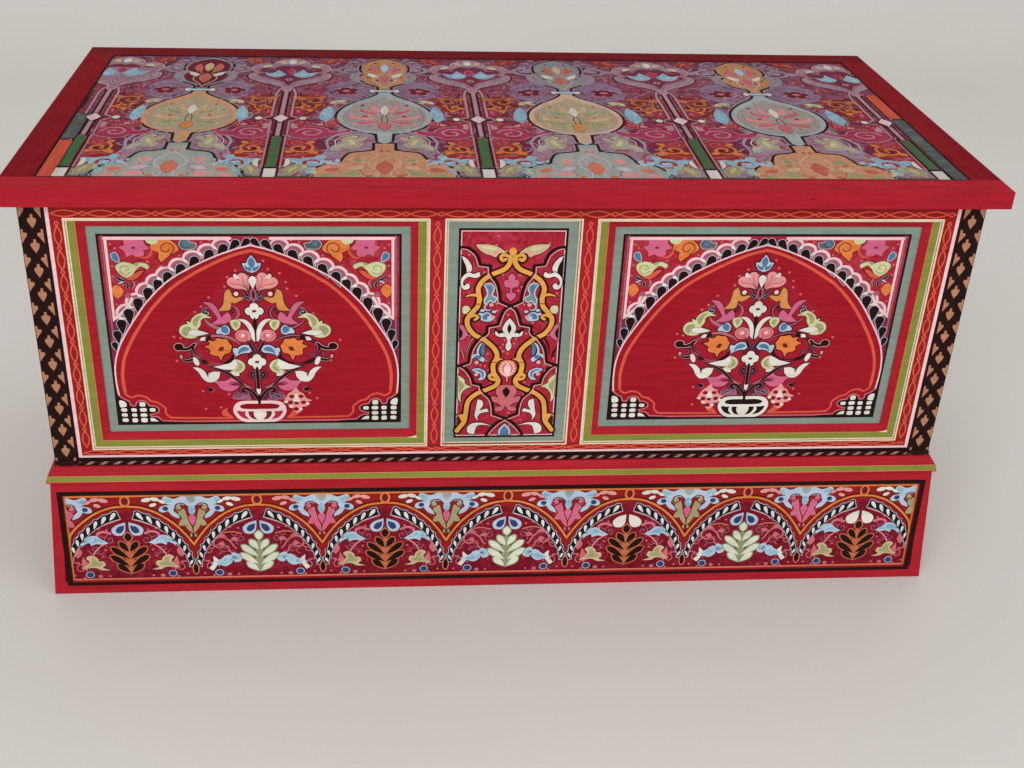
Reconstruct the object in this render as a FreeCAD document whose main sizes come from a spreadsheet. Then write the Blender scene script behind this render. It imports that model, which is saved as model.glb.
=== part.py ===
"""A painted wedding chest: frame-and-panel carcass, lid on butt hinges, splayed plinth.

Frame: +Z up, X along the chest, the front faces -Y. The origin is on the floor,
in the middle of the outline. All sizes are in millimetres.
"""
import FreeCAD, Part
import os
import re
import Sketcher

# Every size that can be set by itself
SIZES = {
    # Lid, a frame round one thin panel
    "lid_length": 1200,
    "lid_depth": 560,
    "lid_thickness": 22,
    "lid_overhang": 20,
    "lid_back_overhang": 14,
    "lid_rail_width": 38,
    "lid_panel_recess": 1,
    "lid_panel_lift": 3,
    "lid_groove_lift": 7,
    "lid_groove_width": 8,
    "lid_groove_depth": 8,
    "batten_width": 60,
    "batten_thickness": 16,
    "batten_inset": 110,
    "batten_end_gap": 12,
    # Carcass, four posts with rails, muntins and panels between them
    "carcass_height": 392,
    "post_size": 52,
    "rail_thickness": 22,
    "top_rail_height": 24,
    "bottom_rail_height": 46,
    "muntin_width": 22,
    "centre_panel_width": 162,
    "groove_setback": 7,
    "groove_width": 8,
    "groove_depth": 7,
    "panel_gap": 1,
    "tenon_length": 24,
    "tenon_shoulder": 4,
    "tenon_gap": 1,
    "raised_field_recess": 2,
    "raised_field_gap": 0.5,
    # Strips round the arch panels, flat by the frame and then splayed
    "bevel_flat": 12,
    "bevel_top_flat": 2,
    "bevel_width": 9,
    "bevel_reveal": 1,
    "bevel_edge": 1.5,
    # Floor
    "cleat_size": 18,
    "floor_thickness": 12,
    "floor_gap": 1,
    # Rope bead and waist moulding
    "rope_height": 7,
    "rope_rise": 1,
    "moulding_height": 20,
    "moulding_projection": 12,
    "moulding_lip": 1.5,
    "moulding_band_height": 10,
    "moulding_band_projection": 9.5,
    "moulding_step": 1,
    "moulding_top_projection": 3,
    # Plinth
    "plinth_height": 176,
    "plinth_step": 8,
    "plinth_flare": 12,
    "plinth_thickness": 16,
    "border_thickness": 4,
    "top_border_height": 22,
    "bottom_border_height": 18,
    "side_border_width": 14,
    "corner_block_size": 60,
    # Hinges and screws
    "hinge_length": 70,
    "hinge_inset": 220,
    "hinge_setback": 1.6,
    "leaf_width": 22,
    "leaf_thickness": 2,
    "leaf_sink": 0.15,
    "knuckle_radius": 4,
    "knuckle_clearance": 0.5,
    "knuckle_gap": 0.3,
    "pin_radius": 2,
    "pin_clearance": 0.08,
    "pin_head_radius": 3,
    "pin_head_length": 1.5,
    "screw_head_radius": 3.2,
    "screw_radius": 1.6,
    "screw_length": 15,
    "screw_clearance": 0.05,
    "screw_edge": 9,
    "screw_pitch": 24,
    "batten_screw_length": 28,
    "batten_screw_pitch": 170,
    # How far a cutter runs past the face that it opens
    "overrun": 5,
}

KNUCKLES = 5

# Places worked out from the sizes
PLACES = {
    "carcass_width": "lid_length - 2 * lid_overhang",
    "carcass_depth": "lid_depth - lid_overhang - lid_back_overhang",
    "carcass_side": "carcass_width / 2",
    "carcass_front": "-lid_depth / 2 + lid_overhang",
    "carcass_back": "lid_depth / 2 - lid_back_overhang",
    "carcass_middle": "(carcass_front + carcass_back) / 2",
    "carcass_top": "plinth_height + carcass_height",
    "front_opening": "carcass_width - 2 * post_size",
    "end_opening": "carcass_depth - 2 * post_size",
    "opening_height": "carcass_height - top_rail_height - bottom_rail_height",
    "opening_bottom": "plinth_height + bottom_rail_height",
    "opening_top": "opening_bottom + opening_height",
    "arch_panel_width": "(front_opening - centre_panel_width) / 2 - muntin_width",
    "arch_panel_place": "(centre_panel_width + arch_panel_width) / 2 + muntin_width",
    "muntin_place": "(centre_panel_width + muntin_width) / 2",
    "back_panel_width": "(front_opening - muntin_width) / 2",
    "back_panel_place": "(back_panel_width + muntin_width) / 2",
    "panel_tongue": "groove_depth - panel_gap",
    "groove_back": "groove_setback + groove_width",
    "lid_opening_length": "lid_length - 2 * lid_rail_width",
    "lid_opening_depth": "lid_depth - 2 * lid_rail_width",
    "lid_tongue": "lid_groove_depth - panel_gap",
    "lid_groove_top": "lid_groove_lift + lid_groove_width",
    "floor_bottom": "plinth_height + cleat_size",
    "hinge_place": "lid_length / 2 - hinge_inset",
    "hinge_axis": "carcass_back + hinge_setback",
    "knuckle_length": f"hinge_length / {KNUCKLES}",
    "barrel_reach": "knuckle_radius + knuckle_clearance",
    "barrel_half": "hinge_length / 2 + pin_head_length + knuckle_clearance",
    "corner_reach": "plinth_step + plinth_flare + overrun",
}

UP = FreeCAD.Vector(0, 0, 1)
ALONG = FreeCAD.Vector(1, 0, 0)
INWARD = FreeCAD.Vector(0, 1, 0)

DOC = FreeCAD.newDocument("wedding_chest")
PIECES = []


def expand(text):
    """Turn named sizes and places into references to the sheet."""
    def reference(match):
        word = match.group()
        if word in PLACES:
            return "(" + expand(PLACES[word]) + ")"
        return "Sizes." + word
    return re.sub(r"[a-z_]+", reference, text)


def bind(item, prop, text):
    item.setExpression(prop, expand(text))


def place(item, x="0", y="0", z="0", turn=0, about=UP):
    """Stand an item at a named place, turned about one axis."""
    item.Placement = FreeCAD.Placement(FreeCAD.Vector(), FreeCAD.Rotation(about, turn))
    for axis, text in zip("xyz", (x, y, z)):
        bind(item, "Placement.Base." + axis, text)
    return item


def piece(item, name):
    """Keep an item as one finished piece of the chest."""
    item.Label = name
    PIECES.append(item)
    return item


def mirrored(span):
    """The same stretch of an axis on the other side of zero."""
    low, high = span
    return f"-({high})", f"-({low})"


def around(middle, half):
    return f"({middle}) - ({half})", f"({middle}) + ({half})"


# Solids

def block(name, x, y, z):
    """A box given by its low and high end along each axis."""
    item = DOC.addObject("Part::Box", name)
    for side, axis, (low, high) in zip(("Length", "Width", "Height"), "xyz", (x, y, z)):
        bind(item, side, f"({high}) - ({low})")
        bind(item, "Placement.Base." + axis, low)
    return item


def rod(name, radius, x, y, z):
    """A cylinder along X, given by its two ends and its axis."""
    item = DOC.addObject("Part::Cylinder", name)
    bind(item, "Radius", radius)
    bind(item, "Height", f"({x[1]}) - ({x[0]})")
    return place(item, x[0], y, z, turn=90, about=INWARD)


def joined(name, items):
    item = DOC.addObject("Part::MultiFuse", name)
    item.Shapes = items
    return item


def group(name, items):
    """Separate solids that share one node."""
    item = DOC.addObject("Part::Compound", name)
    item.Links = items
    return item


def cut(name, base, tools):
    item = DOC.addObject("Part::Cut", name)
    item.Base = base
    item.Tool = tools[0] if len(tools) == 1 else joined(name + "_cutter", tools)
    return item


def common(name, first, second):
    item = DOC.addObject("Part::MultiCommon", name)
    item.Shapes = [first, second]
    return item


def new_body(name):
    return DOC.addObject("PartDesign::Body", name)


def outline_sketch(body, name, plane, points, start):
    """A closed outline on one of the body's own planes, every corner set by the sheet."""
    origin_plane = [face for face in body.Origin.OriginFeatures if face.Role == plane][0]
    sketch = body.newObject("Sketcher::SketchObject", name)
    sketch.AttachmentSupport = [(origin_plane, "")]
    sketch.MapMode = "FlatFace"
    bind(sketch, "AttachmentOffset.Base.z", start)
    count = len(points)
    turn = FreeCAD.Rotation(UP, 360 / count)
    corners = [ALONG]
    for _ in range(count):
        corners.append(turn.multVec(corners[-1]))
    for first, second in zip(corners, corners[1:]):
        sketch.addGeometry(Part.LineSegment(first, second), False)
    for index in range(count):
        sketch.addConstraint(Sketcher.Constraint("Coincident", index, 2, (index + 1) % count, 1))
    for index, (across, upward) in enumerate(points):
        for kind, text in (("DistanceX", across), ("DistanceY", upward)):
            number = sketch.addConstraint(Sketcher.Constraint(kind, index, 1, float(index)))
            label = f"{kind}_{index}"
            sketch.renameConstraint(number, label)
            bind(sketch, "Constraints." + label, text)
    return sketch


def pad(body, name, plane, points, low, high):
    """Add an outline, drawn out along the plane's axis from low to high."""
    backward = plane == "XZ_Plane"
    start = f"-({low})" if backward else low
    feature = body.newObject("PartDesign::Pad", name)
    feature.Profile = outline_sketch(body, name + "_outline", plane, points, start)
    feature.Reversed = backward
    bind(feature, "Length", f"({high}) - ({low})")
    return feature


def pocket(body, name, plane, points, low, high):
    """Take an outline away, from low to high along the plane's axis."""
    backward = plane == "XZ_Plane"
    start = f"-({low})" if backward else low
    feature = body.newObject("PartDesign::Pocket", name)
    feature.Profile = outline_sketch(body, name + "_outline", plane, points, start)
    feature.Reversed = not backward
    bind(feature, "Length", f"({high}) - ({low})")
    return feature


def rectangle(across, upward):
    near, far = across
    low, high = upward
    return [(near, low), (far, low), (far, high), (near, high)]


def prism(name, plane, points, low, high):
    body = new_body(name)
    pad(body, name + "_pad", plane, points, low, high)
    return body


# Carcass frame
# A frame member lies along X with its outer face at Y = 0 and its foot at Z = 0.

def rail(name, length, height, groove_on_top):
    """A rail with one long panel groove and a tenon at each end."""
    edge = height if groove_on_top else "0"
    bottom = f"({height}) - groove_depth" if groove_on_top else "groove_depth"
    far = "0" if groove_on_top else height
    section = [("0", edge), ("groove_setback", edge), ("groove_setback", bottom),
               ("groove_back", bottom), ("groove_back", edge), ("rail_thickness", edge),
               ("rail_thickness", far), ("0", far)]
    if groove_on_top:
        tenon = ("tenon_shoulder", bottom)
    else:
        tenon = (bottom, f"({height}) - tenon_shoulder")
    half = f"({length}) / 2"
    body = new_body(name)
    pad(body, name + "_length", "YZ_Plane", section, f"-({half})", half)
    pad(body, name + "_tenons", "YZ_Plane", rectangle(("groove_setback", "groove_back"), tenon),
        f"-({half} + tenon_length)", f"{half} + tenon_length")
    return body


def post(name):
    """A square corner post, outer corner at the origin, mortised and grooved on two faces."""
    body = new_body(name)
    face = ("0", "post_size")
    pad(body, name + "_length", "XY_Plane", rectangle(face, face), "0", "carcass_height")
    slot = ("groove_setback", "groove_back")
    groove = ("post_size - groove_depth", "post_size")
    mortise = ("post_size - tenon_length - tenon_gap", "post_size")
    spans = {
        "groove": (groove, ("bottom_rail_height - groove_depth",
                            "carcass_height - top_rail_height + groove_depth")),
        "low_mortise": (mortise, ("tenon_shoulder", "bottom_rail_height - groove_depth")),
        "high_mortise": (mortise, ("carcass_height - top_rail_height + groove_depth",
                                   "carcass_height - tenon_shoulder")),
    }
    for kind, (deep, (low, high)) in spans.items():
        pocket(body, f"{name}_front_{kind}", "XY_Plane", rectangle(deep, slot), low, high)
        pocket(body, f"{name}_end_{kind}", "XY_Plane", rectangle(slot, deep), low, high)
    return body


def muntin(name):
    """An upright between the rails, grooved on both edges, with a stub tenon at each end."""
    half = "muntin_width / 2"
    web = "muntin_width / 2 - groove_depth"
    section = [(f"-{half}", "0"), (half, "0"), (half, "groove_setback"), (web, "groove_setback"),
               (web, "groove_back"), (half, "groove_back"), (half, "rail_thickness"),
               (f"-{half}", "rail_thickness"), (f"-{half}", "groove_back"), (f"-({web})", "groove_back"),
               (f"-({web})", "groove_setback"), (f"-{half}", "groove_setback")]
    body = new_body(name)
    pad(body, name + "_length", "XY_Plane", section, "0", "opening_height")
    pad(body, name + "_tenons", "XY_Plane",
        rectangle((f"-({web})", web), ("groove_setback", "groove_back")),
        "-panel_tongue", "opening_height + panel_tongue")
    return body


def panel(name, width):
    """A flat panel whose edges stand in the grooves round its opening."""
    return block(name + "_board", around("0", f"({width}) / 2 + panel_tongue"),
                 ("groove_setback", "groove_back"),
                 ("-panel_tongue", "opening_height + panel_tongue"))


def raised_panel(name, width):
    """A panel with a field that comes forward almost to the face of the frame."""
    field = block(name + "_field", around("0", f"({width}) / 2 - raised_field_gap"),
                  ("raised_field_recess", "groove_setback"),
                  ("raised_field_gap", "opening_height - raised_field_gap"))
    return joined(name, [panel(name, width), field])


def bevel_strip(name, length, flat, left_flat, right_flat):
    """One mitred strip, flat next to the frame and then sloping down to the panel."""
    half = f"({length}) / 2"
    inner = f"{flat} + bevel_width"
    outline = [(f"-{half}", "0"), (half, "0"),
               (f"{half} - {right_flat}", flat), (f"{half} - {right_flat} - bevel_width", inner),
               (f"-{half} + {left_flat} + bevel_width", inner), (f"-{half} + {left_flat}", flat)]
    slope = [("bevel_reveal", flat), ("groove_setback - bevel_edge", inner), ("bevel_reveal", inner)]
    body = new_body(name)
    pad(body, name + "_length", "XZ_Plane", outline, "bevel_reveal", "groove_setback")
    pocket(body, name + "_slope", "YZ_Plane", slope, f"-{half}", half)
    return body


def bevel_frame(name, width):
    """Four strips, mitred round one opening. The top one has the narrow flat."""
    half = f"({width}) / 2"
    middle = "opening_height / 2"
    flat, top = "bevel_flat", "bevel_top_flat"
    sides = {
        "bottom": (width, flat, flat, flat, "0", "0", 0),
        "top": (width, top, flat, flat, "0", "opening_height", 180),
        "left": ("opening_height", flat, top, flat, f"-({half})", middle, 90),
        "right": ("opening_height", flat, flat, top, half, middle, -90),
    }
    strips = [place(bevel_strip(f"{name}_{side}", length, own, low, high), x, "0", z, turn, INWARD)
              for side, (length, own, low, high, x, z, turn) in sides.items()]
    return group(name, strips)


def make_posts():
    corners = {
        "post_front_left": ("-carcass_side", "carcass_front", 0),
        "post_front_right": ("carcass_side", "carcass_front", 90),
        "post_back_right": ("carcass_side", "carcass_back", 180),
        "post_back_left": ("-carcass_side", "carcass_back", -90),
    }
    for name, (x, y, turn) in corners.items():
        piece(place(post(name), x, y, "plinth_height", turn), name)


def make_front():
    for name, height, top in (("front_top_rail", "top_rail_height", False),
                              ("front_bottom_rail", "bottom_rail_height", True)):
        z = "plinth_height" if top else "opening_top"
        piece(place(rail(name, "front_opening", height, top), "0", "carcass_front", z), name)
    for side, sign in (("left", "-"), ("right", "")):
        name = f"front_{side}_muntin"
        piece(place(muntin(name), f"{sign}muntin_place", "carcass_front", "opening_bottom"), name)
        name = f"front_{side}_panel"
        x = f"{sign}arch_panel_place"
        hung_panel(name, "arch_panel_width", x, "carcass_front")
        name = f"front_{side}_panel_moulding"
        bevels = bevel_frame(name, "arch_panel_width")
        piece(place(bevels, x, "carcass_front", "opening_bottom"), name)
    name = "front_centre_panel"
    field = raised_panel(name, "centre_panel_width")
    piece(place(field, "0", "carcass_front", "opening_bottom"), name)


def hung_panel(name, width, x, y, turn=0):
    """A flat panel stood in its opening, by the middle of its foot."""
    return piece(place(group(name, [panel(name, width)]), x, y, "opening_bottom", turn), name)


def make_ends():
    for side, x, turn in (("left", "-carcass_side", -90), ("right", "carcass_side", 90)):
        for level, height, low in (("top", "top_rail_height", False),
                                   ("bottom", "bottom_rail_height", True)):
            name = f"{side}_end_{level}_rail"
            z = "plinth_height" if low else "opening_top"
            piece(place(rail(name, "end_opening", height, low), x, "carcass_middle", z, turn), name)
        hung_panel(f"{side}_end_panel", "end_opening", x, "carcass_middle", turn)
        name = f"{side}_end_panel_moulding"
        bevels = bevel_frame(name, "end_opening")
        piece(place(bevels, x, "carcass_middle", "opening_bottom", turn), name)


def make_back(hinge_cutters):
    rails = place(rail("back_top_rail_blank", "front_opening", "top_rail_height", False),
                  "0", "carcass_back", "opening_top", 180)
    piece(cut("back_top_rail", rails, hinge_cutters), "back_top_rail")
    name = "back_bottom_rail"
    low_rail = rail(name, "front_opening", "bottom_rail_height", True)
    piece(place(low_rail, "0", "carcass_back", "plinth_height", 180), name)
    piece(place(muntin("back_muntin"), "0", "carcass_back", "opening_bottom", 180), "back_muntin")
    for side, sign in (("left", "-"), ("right", "")):
        x = f"{sign}back_panel_place"
        hung_panel(f"back_{side}_panel", "back_panel_width", x, "carcass_back", 180)


# Floor

def make_floor():
    """Three boards side by side, each lying across the chest on the front and back cleats."""
    inner_side = "carcass_side - rail_thickness - floor_gap"
    low = "carcass_front + rail_thickness + floor_gap"
    high = "carcass_back - rail_thickness - floor_gap"
    levels = ("floor_bottom", "floor_bottom + floor_thickness")
    half_board = f"(({inner_side}) - floor_gap) / 3"
    post_side = ("carcass_side - post_size - floor_gap", "carcass_side")
    post_rows = (("carcass_front", "carcass_front + post_size + floor_gap"),
                 ("carcass_back - post_size - floor_gap", "carcass_back"))
    board = block("floor_board_centre", around("0", half_board), (low, high), levels)
    piece(board, "floor_board_centre")
    right = (f"{half_board} + floor_gap", inner_side)
    for name, span, notch in (("floor_board_left", mirrored(right), mirrored(post_side)),
                              ("floor_board_right", right, post_side)):
        blank = block(name + "_blank", span, (low, high), levels)
        corners = [block(f"{name}_notch_{index}", notch, row, levels)
                   for index, row in enumerate(post_rows)]
        piece(cut(name, blank, corners), name)
    cleat_length = around("0", "carcass_side - post_size")
    cleat_level = ("plinth_height", "floor_bottom")
    inner_front = "carcass_front + rail_thickness"
    inner_back = "carcass_back - rail_thickness"
    cleats = [
        block("front_cleat", cleat_length, (inner_front, f"{inner_front} + cleat_size"), cleat_level),
        block("back_cleat", cleat_length, (f"{inner_back} - cleat_size", inner_back), cleat_level),
    ]
    piece(group("floor_cleats", cleats), "floor_cleats")


# Bands that run round the chest
# A band lies along X on a carcass face at Y = 0 and stands out towards -Y.

def mitre_cutter(name, corner, side):
    """The wedge beyond the 45 degree plane through one corner of the carcass."""
    inside = "plinth_thickness + overrun"
    outside = "corner_reach + overrun"
    sign = "-" if side < 0 else ""
    outline = [(f"{sign}(({corner}) - ({inside}))", inside),
               (f"{sign}(({corner}) + {outside})", f"-({outside})"),
               (f"{sign}(({corner}) + {outside})", inside)]
    return prism(name, "XY_Plane", outline, "-overrun", "carcass_top")


def band(name, section, half_length, mitred_sides):
    """A section drawn along X, mitred at some ends and square at the others."""
    ends = {}
    for side in (-1, 1):
        reach = " + corner_reach" if side in mitred_sides else ""
        ends[side] = f"({half_length}){reach}"
    strip = prism(name + "_length", "YZ_Plane", section, f"-({ends[-1]})", ends[1])
    cutters = [mitre_cutter(f"{name}_mitre_{index}", half_length, side)
               for index, side in enumerate(mitred_sides)]
    return cut(name, strip, cutters)


def lean(height):
    """How far the plinth's outer face stands out from the carcass at a height."""
    return f"(plinth_step + plinth_flare * (1 - ({height}) / plinth_height))"


def leaning(low, high, outer, inner):
    """A slab of the plinth between two depths behind its outer face."""
    return [(f"-({lean(low)} - ({outer}))", low), (f"-({lean(low)} - ({inner}))", low),
            (f"-({lean(high)} - ({inner}))", high), (f"-({lean(high)} - ({outer}))", high)]


def make_waist_moulding():
    section = [("0", "0"), ("-moulding_projection", "0"), ("-moulding_projection", "moulding_lip"),
               ("-moulding_band_projection", "moulding_band_height"),
               ("-(moulding_band_projection - moulding_step)", "moulding_band_height"),
               ("-moulding_top_projection", "moulding_height"), ("0", "moulding_height")]
    front = band("waist_moulding_front", section, "carcass_side", (-1, 1))
    piece(place(front, "0", "carcass_front", "plinth_height"), "waist_moulding_front")
    for side, x, turn, mitred in (("left", "-carcass_side", -90, 1), ("right", "carcass_side", 90, -1)):
        name = f"waist_moulding_{side}"
        strip = band(name, section, "carcass_depth / 2", (mitred,))
        piece(place(strip, x, "carcass_middle", "plinth_height", turn), name)


def make_rope_bead():
    name = "rope_bead"
    bead = DOC.addObject("Part::Cylinder", name)
    bind(bead, "Radius", "rope_height / 2")
    bind(bead, "Height", "carcass_width")
    bead.Angle = 180
    place(bead, "-carcass_side", "carcass_front",
          "plinth_height + moulding_height + rope_rise + rope_height / 2", turn=180, about=ALONG + UP)
    piece(bead, name)


def make_plinth():
    top = "plinth_height"
    field_low = "bottom_border_height"
    field_high = "plinth_height - top_border_height"
    sections = {
        "plinth_front_board": leaning("0", top, "border_thickness", "plinth_thickness"),
        "plinth_top_border": leaning(field_high, top, "0", "border_thickness"),
        "plinth_bottom_border": leaning("0", field_low, "0", "border_thickness"),
    }
    for name, section in sections.items():
        piece(place(band(name, section, "carcass_side", (-1, 1)), "0", "carcass_front"), name)
    for side, sign in (("left", "-"), ("right", "")):
        name = f"plinth_{side}_border"
        strip = band(name + "_strip", leaning(field_low, field_high, "0", "border_thickness"),
                     "carcass_side", (-1, 1))
        edge = []
        for height, reach in ((field_low, "-side_border_width"), (field_low, "overrun"),
                              (field_high, "overrun"), (field_high, "-side_border_width")):
            edge.append((f"{sign}(carcass_side + {lean(height)} + ({reach}))", height))
        window = prism(name + "_window", "XZ_Plane", edge, "-corner_reach", "plinth_thickness")
        piece(place(common(name, strip, window), "0", "carcass_front"), name)
    full = leaning("0", top, "0", "plinth_thickness")
    for side, x, turn, mitred in (("left", "-carcass_side", -90, 1), ("right", "carcass_side", 90, -1)):
        name = f"plinth_{side}_board"
        board = band(name, full, "carcass_depth / 2", (mitred,))
        piece(place(board, x, "carcass_middle", "0", turn), name)
    inner_low = f"carcass_side + {lean('0')} - plinth_thickness"
    inner_high = f"carcass_side + {lean(top)} - plinth_thickness"
    back = [(f"-({inner_low})", "0"), (inner_low, "0"), (inner_high, top), (f"-({inner_high})", top)]
    name = "plinth_back_board"
    piece(prism(name, "XZ_Plane", back, "carcass_back - plinth_thickness", "carcass_back"), name)
    piece(group("plinth_corner_blocks", corner_blocks(inner_low, inner_high)), "plinth_corner_blocks")


def corner_blocks(inner_low, inner_high):
    """Four blocks behind the plinth boards, their outer faces leaning with the boards."""
    top = "plinth_height"
    inner = "carcass_side - corner_block_size"
    back = ("carcass_back - plinth_thickness - corner_block_size", "carcass_back - plinth_thickness")
    front_face = [(f"carcass_front - ({lean('0')} - plinth_thickness)", "0"),
                  ("carcass_front + corner_block_size", "0"), ("carcass_front + corner_block_size", top),
                  (f"carcass_front - ({lean(top)} - plinth_thickness)", top)]
    blocks = []
    for side, sign in (("left", "-"), ("right", "")):
        outline = [(f"{sign}({inner})", "0"), (f"{sign}({inner_low})", "0"),
                   (f"{sign}({inner_high})", top), (f"{sign}({inner})", top)]
        blocks.append(prism(f"block_back_{side}", "XZ_Plane", outline, *back))
        across = prism(f"block_front_{side}_across", "XZ_Plane", outline,
                       "carcass_front - corner_reach", "carcass_front + corner_block_size")
        along = prism(f"block_front_{side}_along", "YZ_Plane", front_face,
                      "-(carcass_side + corner_reach)", "carcass_side + corner_reach")
        blocks.append(common(f"block_front_{side}", across, along))
    return blocks


# Hinges and screws

def screw(name, x, y, z, length, upward, clearance="0"):
    """A countersunk screw whose head is flush with the face that it is driven into."""
    head = DOC.addObject("Part::Cone", name + "_head")
    bind(head, "Radius1", f"screw_radius + {clearance}")
    bind(head, "Radius2", f"screw_head_radius + {clearance}")
    bind(head, "Height", "leaf_thickness")
    place(head, z="-leaf_thickness")
    shank = DOC.addObject("Part::Cylinder", name + "_shank")
    bind(shank, "Radius", f"screw_radius + {clearance}")
    bind(shank, "Height", f"{length} - leaf_thickness + {clearance}")
    place(shank, z=f"-({length} + {clearance})")
    return place(joined(name, [head, shank]), x, y, z, turn=180 if upward else 0, about=ALONG)


def hinge_screws(name, side, upward, clearance="0"):
    """The three screws of one leaf."""
    face = "carcass_top + leaf_sink" if upward else "carcass_top - leaf_sink"
    middle = f"{side}hinge_place"
    places = [f"{middle} - screw_pitch", middle, f"{middle} + screw_pitch"]
    row = "hinge_axis - leaf_width + screw_edge"
    return [screw(f"{name}_{index}", x, row, face, "screw_length", upward, clearance)
            for index, x in enumerate(places)]


def hinge_leaf(name, side, upward):
    """A plate with its share of the knuckles, drilled for the pin and three screws."""
    plate = ("leaf_sink", "leaf_sink + leaf_thickness")
    if not upward:
        plate = mirrored(plate)
    level = tuple(f"carcass_top + ({edge})" for edge in plate)
    middle = f"{side}hinge_place"
    parts = [block(name + "_plate", around(middle, "hinge_length / 2"),
                   ("hinge_axis - leaf_width", "hinge_axis - barrel_reach"), level)]
    first = 1 if upward else 0
    for index in range(first, KNUCKLES, 2):
        start = f"{middle} - hinge_length / 2 + {index} * knuckle_length"
        span = (f"{start} + knuckle_gap / 2", f"{start} + knuckle_length - knuckle_gap / 2")
        parts.append(rod(f"{name}_knuckle_{index}", "knuckle_radius", span, "hinge_axis", "carcass_top"))
        neck = ("hinge_axis - barrel_reach", "hinge_axis")
        parts.append(block(f"{name}_neck_{index}", span, neck, level))
    bore = rod(name + "_bore", "pin_radius + pin_clearance",
               around(middle, "hinge_length / 2 + overrun"), "hinge_axis", "carcass_top")
    holes = hinge_screws(name + "_hole", side, upward, "screw_clearance")
    return cut(name, joined(name + "_solid", parts), [bore] + holes)


def hinge_recess(name, side, upward):
    """What one leaf, its barrel and its screws take out of the wood."""
    leaf_level = ("-overrun", "leaf_sink + leaf_thickness")
    barrel_level = ("-overrun", "barrel_reach")
    if not upward:
        leaf_level = mirrored(leaf_level)
        barrel_level = mirrored(barrel_level)
    middle = f"{side}hinge_place"
    back = "hinge_axis + barrel_reach"
    plate = block(name + "_plate", around(middle, "hinge_length / 2"), ("hinge_axis - leaf_width", back),
                  tuple(f"carcass_top + ({edge})" for edge in leaf_level))
    barrel = block(name + "_barrel", around(middle, "barrel_half"), ("hinge_axis - barrel_reach", back),
                   tuple(f"carcass_top + ({edge})" for edge in barrel_level))
    return [plate, barrel] + hinge_screws(name + "_hole", side, upward, "screw_clearance")


def hinge_pin(name, side):
    """A pin with a head at each end, so that it can't walk out of the knuckles."""
    middle = f"{side}hinge_place"
    shaft_half = "hinge_length / 2 + knuckle_gap / 2"
    near, far = around(middle, shaft_half)
    lengths = {
        "shaft": ("pin_radius", (near, far)),
        "near_head": ("pin_head_radius", (f"{near} - pin_head_length", near)),
        "far_head": ("pin_head_radius", (far, f"{far} + pin_head_length")),
    }
    return joined(name, [rod(f"{name}_{part}", radius, span, "hinge_axis", "carcass_top")
                         for part, (radius, span) in lengths.items()])


def make_hinges():
    """Both hinges. Returns what they take out of the lid and out of the carcass."""
    recesses = {True: [], False: []}
    screws = {True: [], False: []}
    pins = []
    for side_name, side in (("left", "-"), ("right", "")):
        for upward, owner in ((True, "lid"), (False, "carcass")):
            name = f"{owner}_hinge_leaf_{side_name}"
            piece(hinge_leaf(name, side, upward), name)
            recesses[upward] += hinge_recess(name + "_recess", side, upward)
            screws[upward] += hinge_screws(name + "_screw", side, upward)
        pins.append(hinge_pin(f"hinge_pin_{side_name}", side))
    piece(group("hinge_pins", pins), "hinge_pins")
    piece(group("lid_hinge_screws", screws[True]), "lid_hinge_screws")
    piece(group("carcass_hinge_screws", screws[False]), "carcass_hinge_screws")
    return recesses[True], recesses[False]


# Lid

def long_lid_rail(name, sign):
    """The front or back rail of the lid, grooved along its inner edge."""
    outer = f"{sign}lid_depth / 2"
    inner = f"{sign}(lid_opening_depth / 2)"
    bottom = f"{sign}(lid_opening_depth / 2 + lid_groove_depth)"
    section = [(outer, "0"), (inner, "0"), (inner, "lid_groove_lift"), (bottom, "lid_groove_lift"),
               (bottom, "lid_groove_top"), (inner, "lid_groove_top"), (inner, "lid_thickness"),
               (outer, "lid_thickness")]
    body = prism(name, "YZ_Plane", section, "-lid_length / 2", "lid_length / 2")
    return place(body, z="carcass_top")


def short_lid_rail(name, sign):
    """The left or right rail, grooved inside, with a stub tenon in each long rail."""
    outer = f"{sign}lid_length / 2"
    inner = f"{sign}(lid_opening_length / 2)"
    bottom = f"{sign}(lid_opening_length / 2 + lid_groove_depth)"
    section = [(outer, "0"), (inner, "0"), (inner, "lid_groove_lift"), (bottom, "lid_groove_lift"),
               (bottom, "lid_groove_top"), (inner, "lid_groove_top"), (inner, "lid_thickness"),
               (outer, "lid_thickness")]
    tenon = rectangle((bottom, outer), ("lid_groove_lift", "lid_groove_top"))
    half = "lid_opening_depth / 2"
    body = new_body(name)
    pad(body, name + "_length", "XZ_Plane", section, f"-{half}", half)
    pad(body, name + "_tenons", "XZ_Plane", tenon, f"-({half} + lid_tongue)", f"{half} + lid_tongue")
    return place(body, z="carcass_top")


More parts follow.
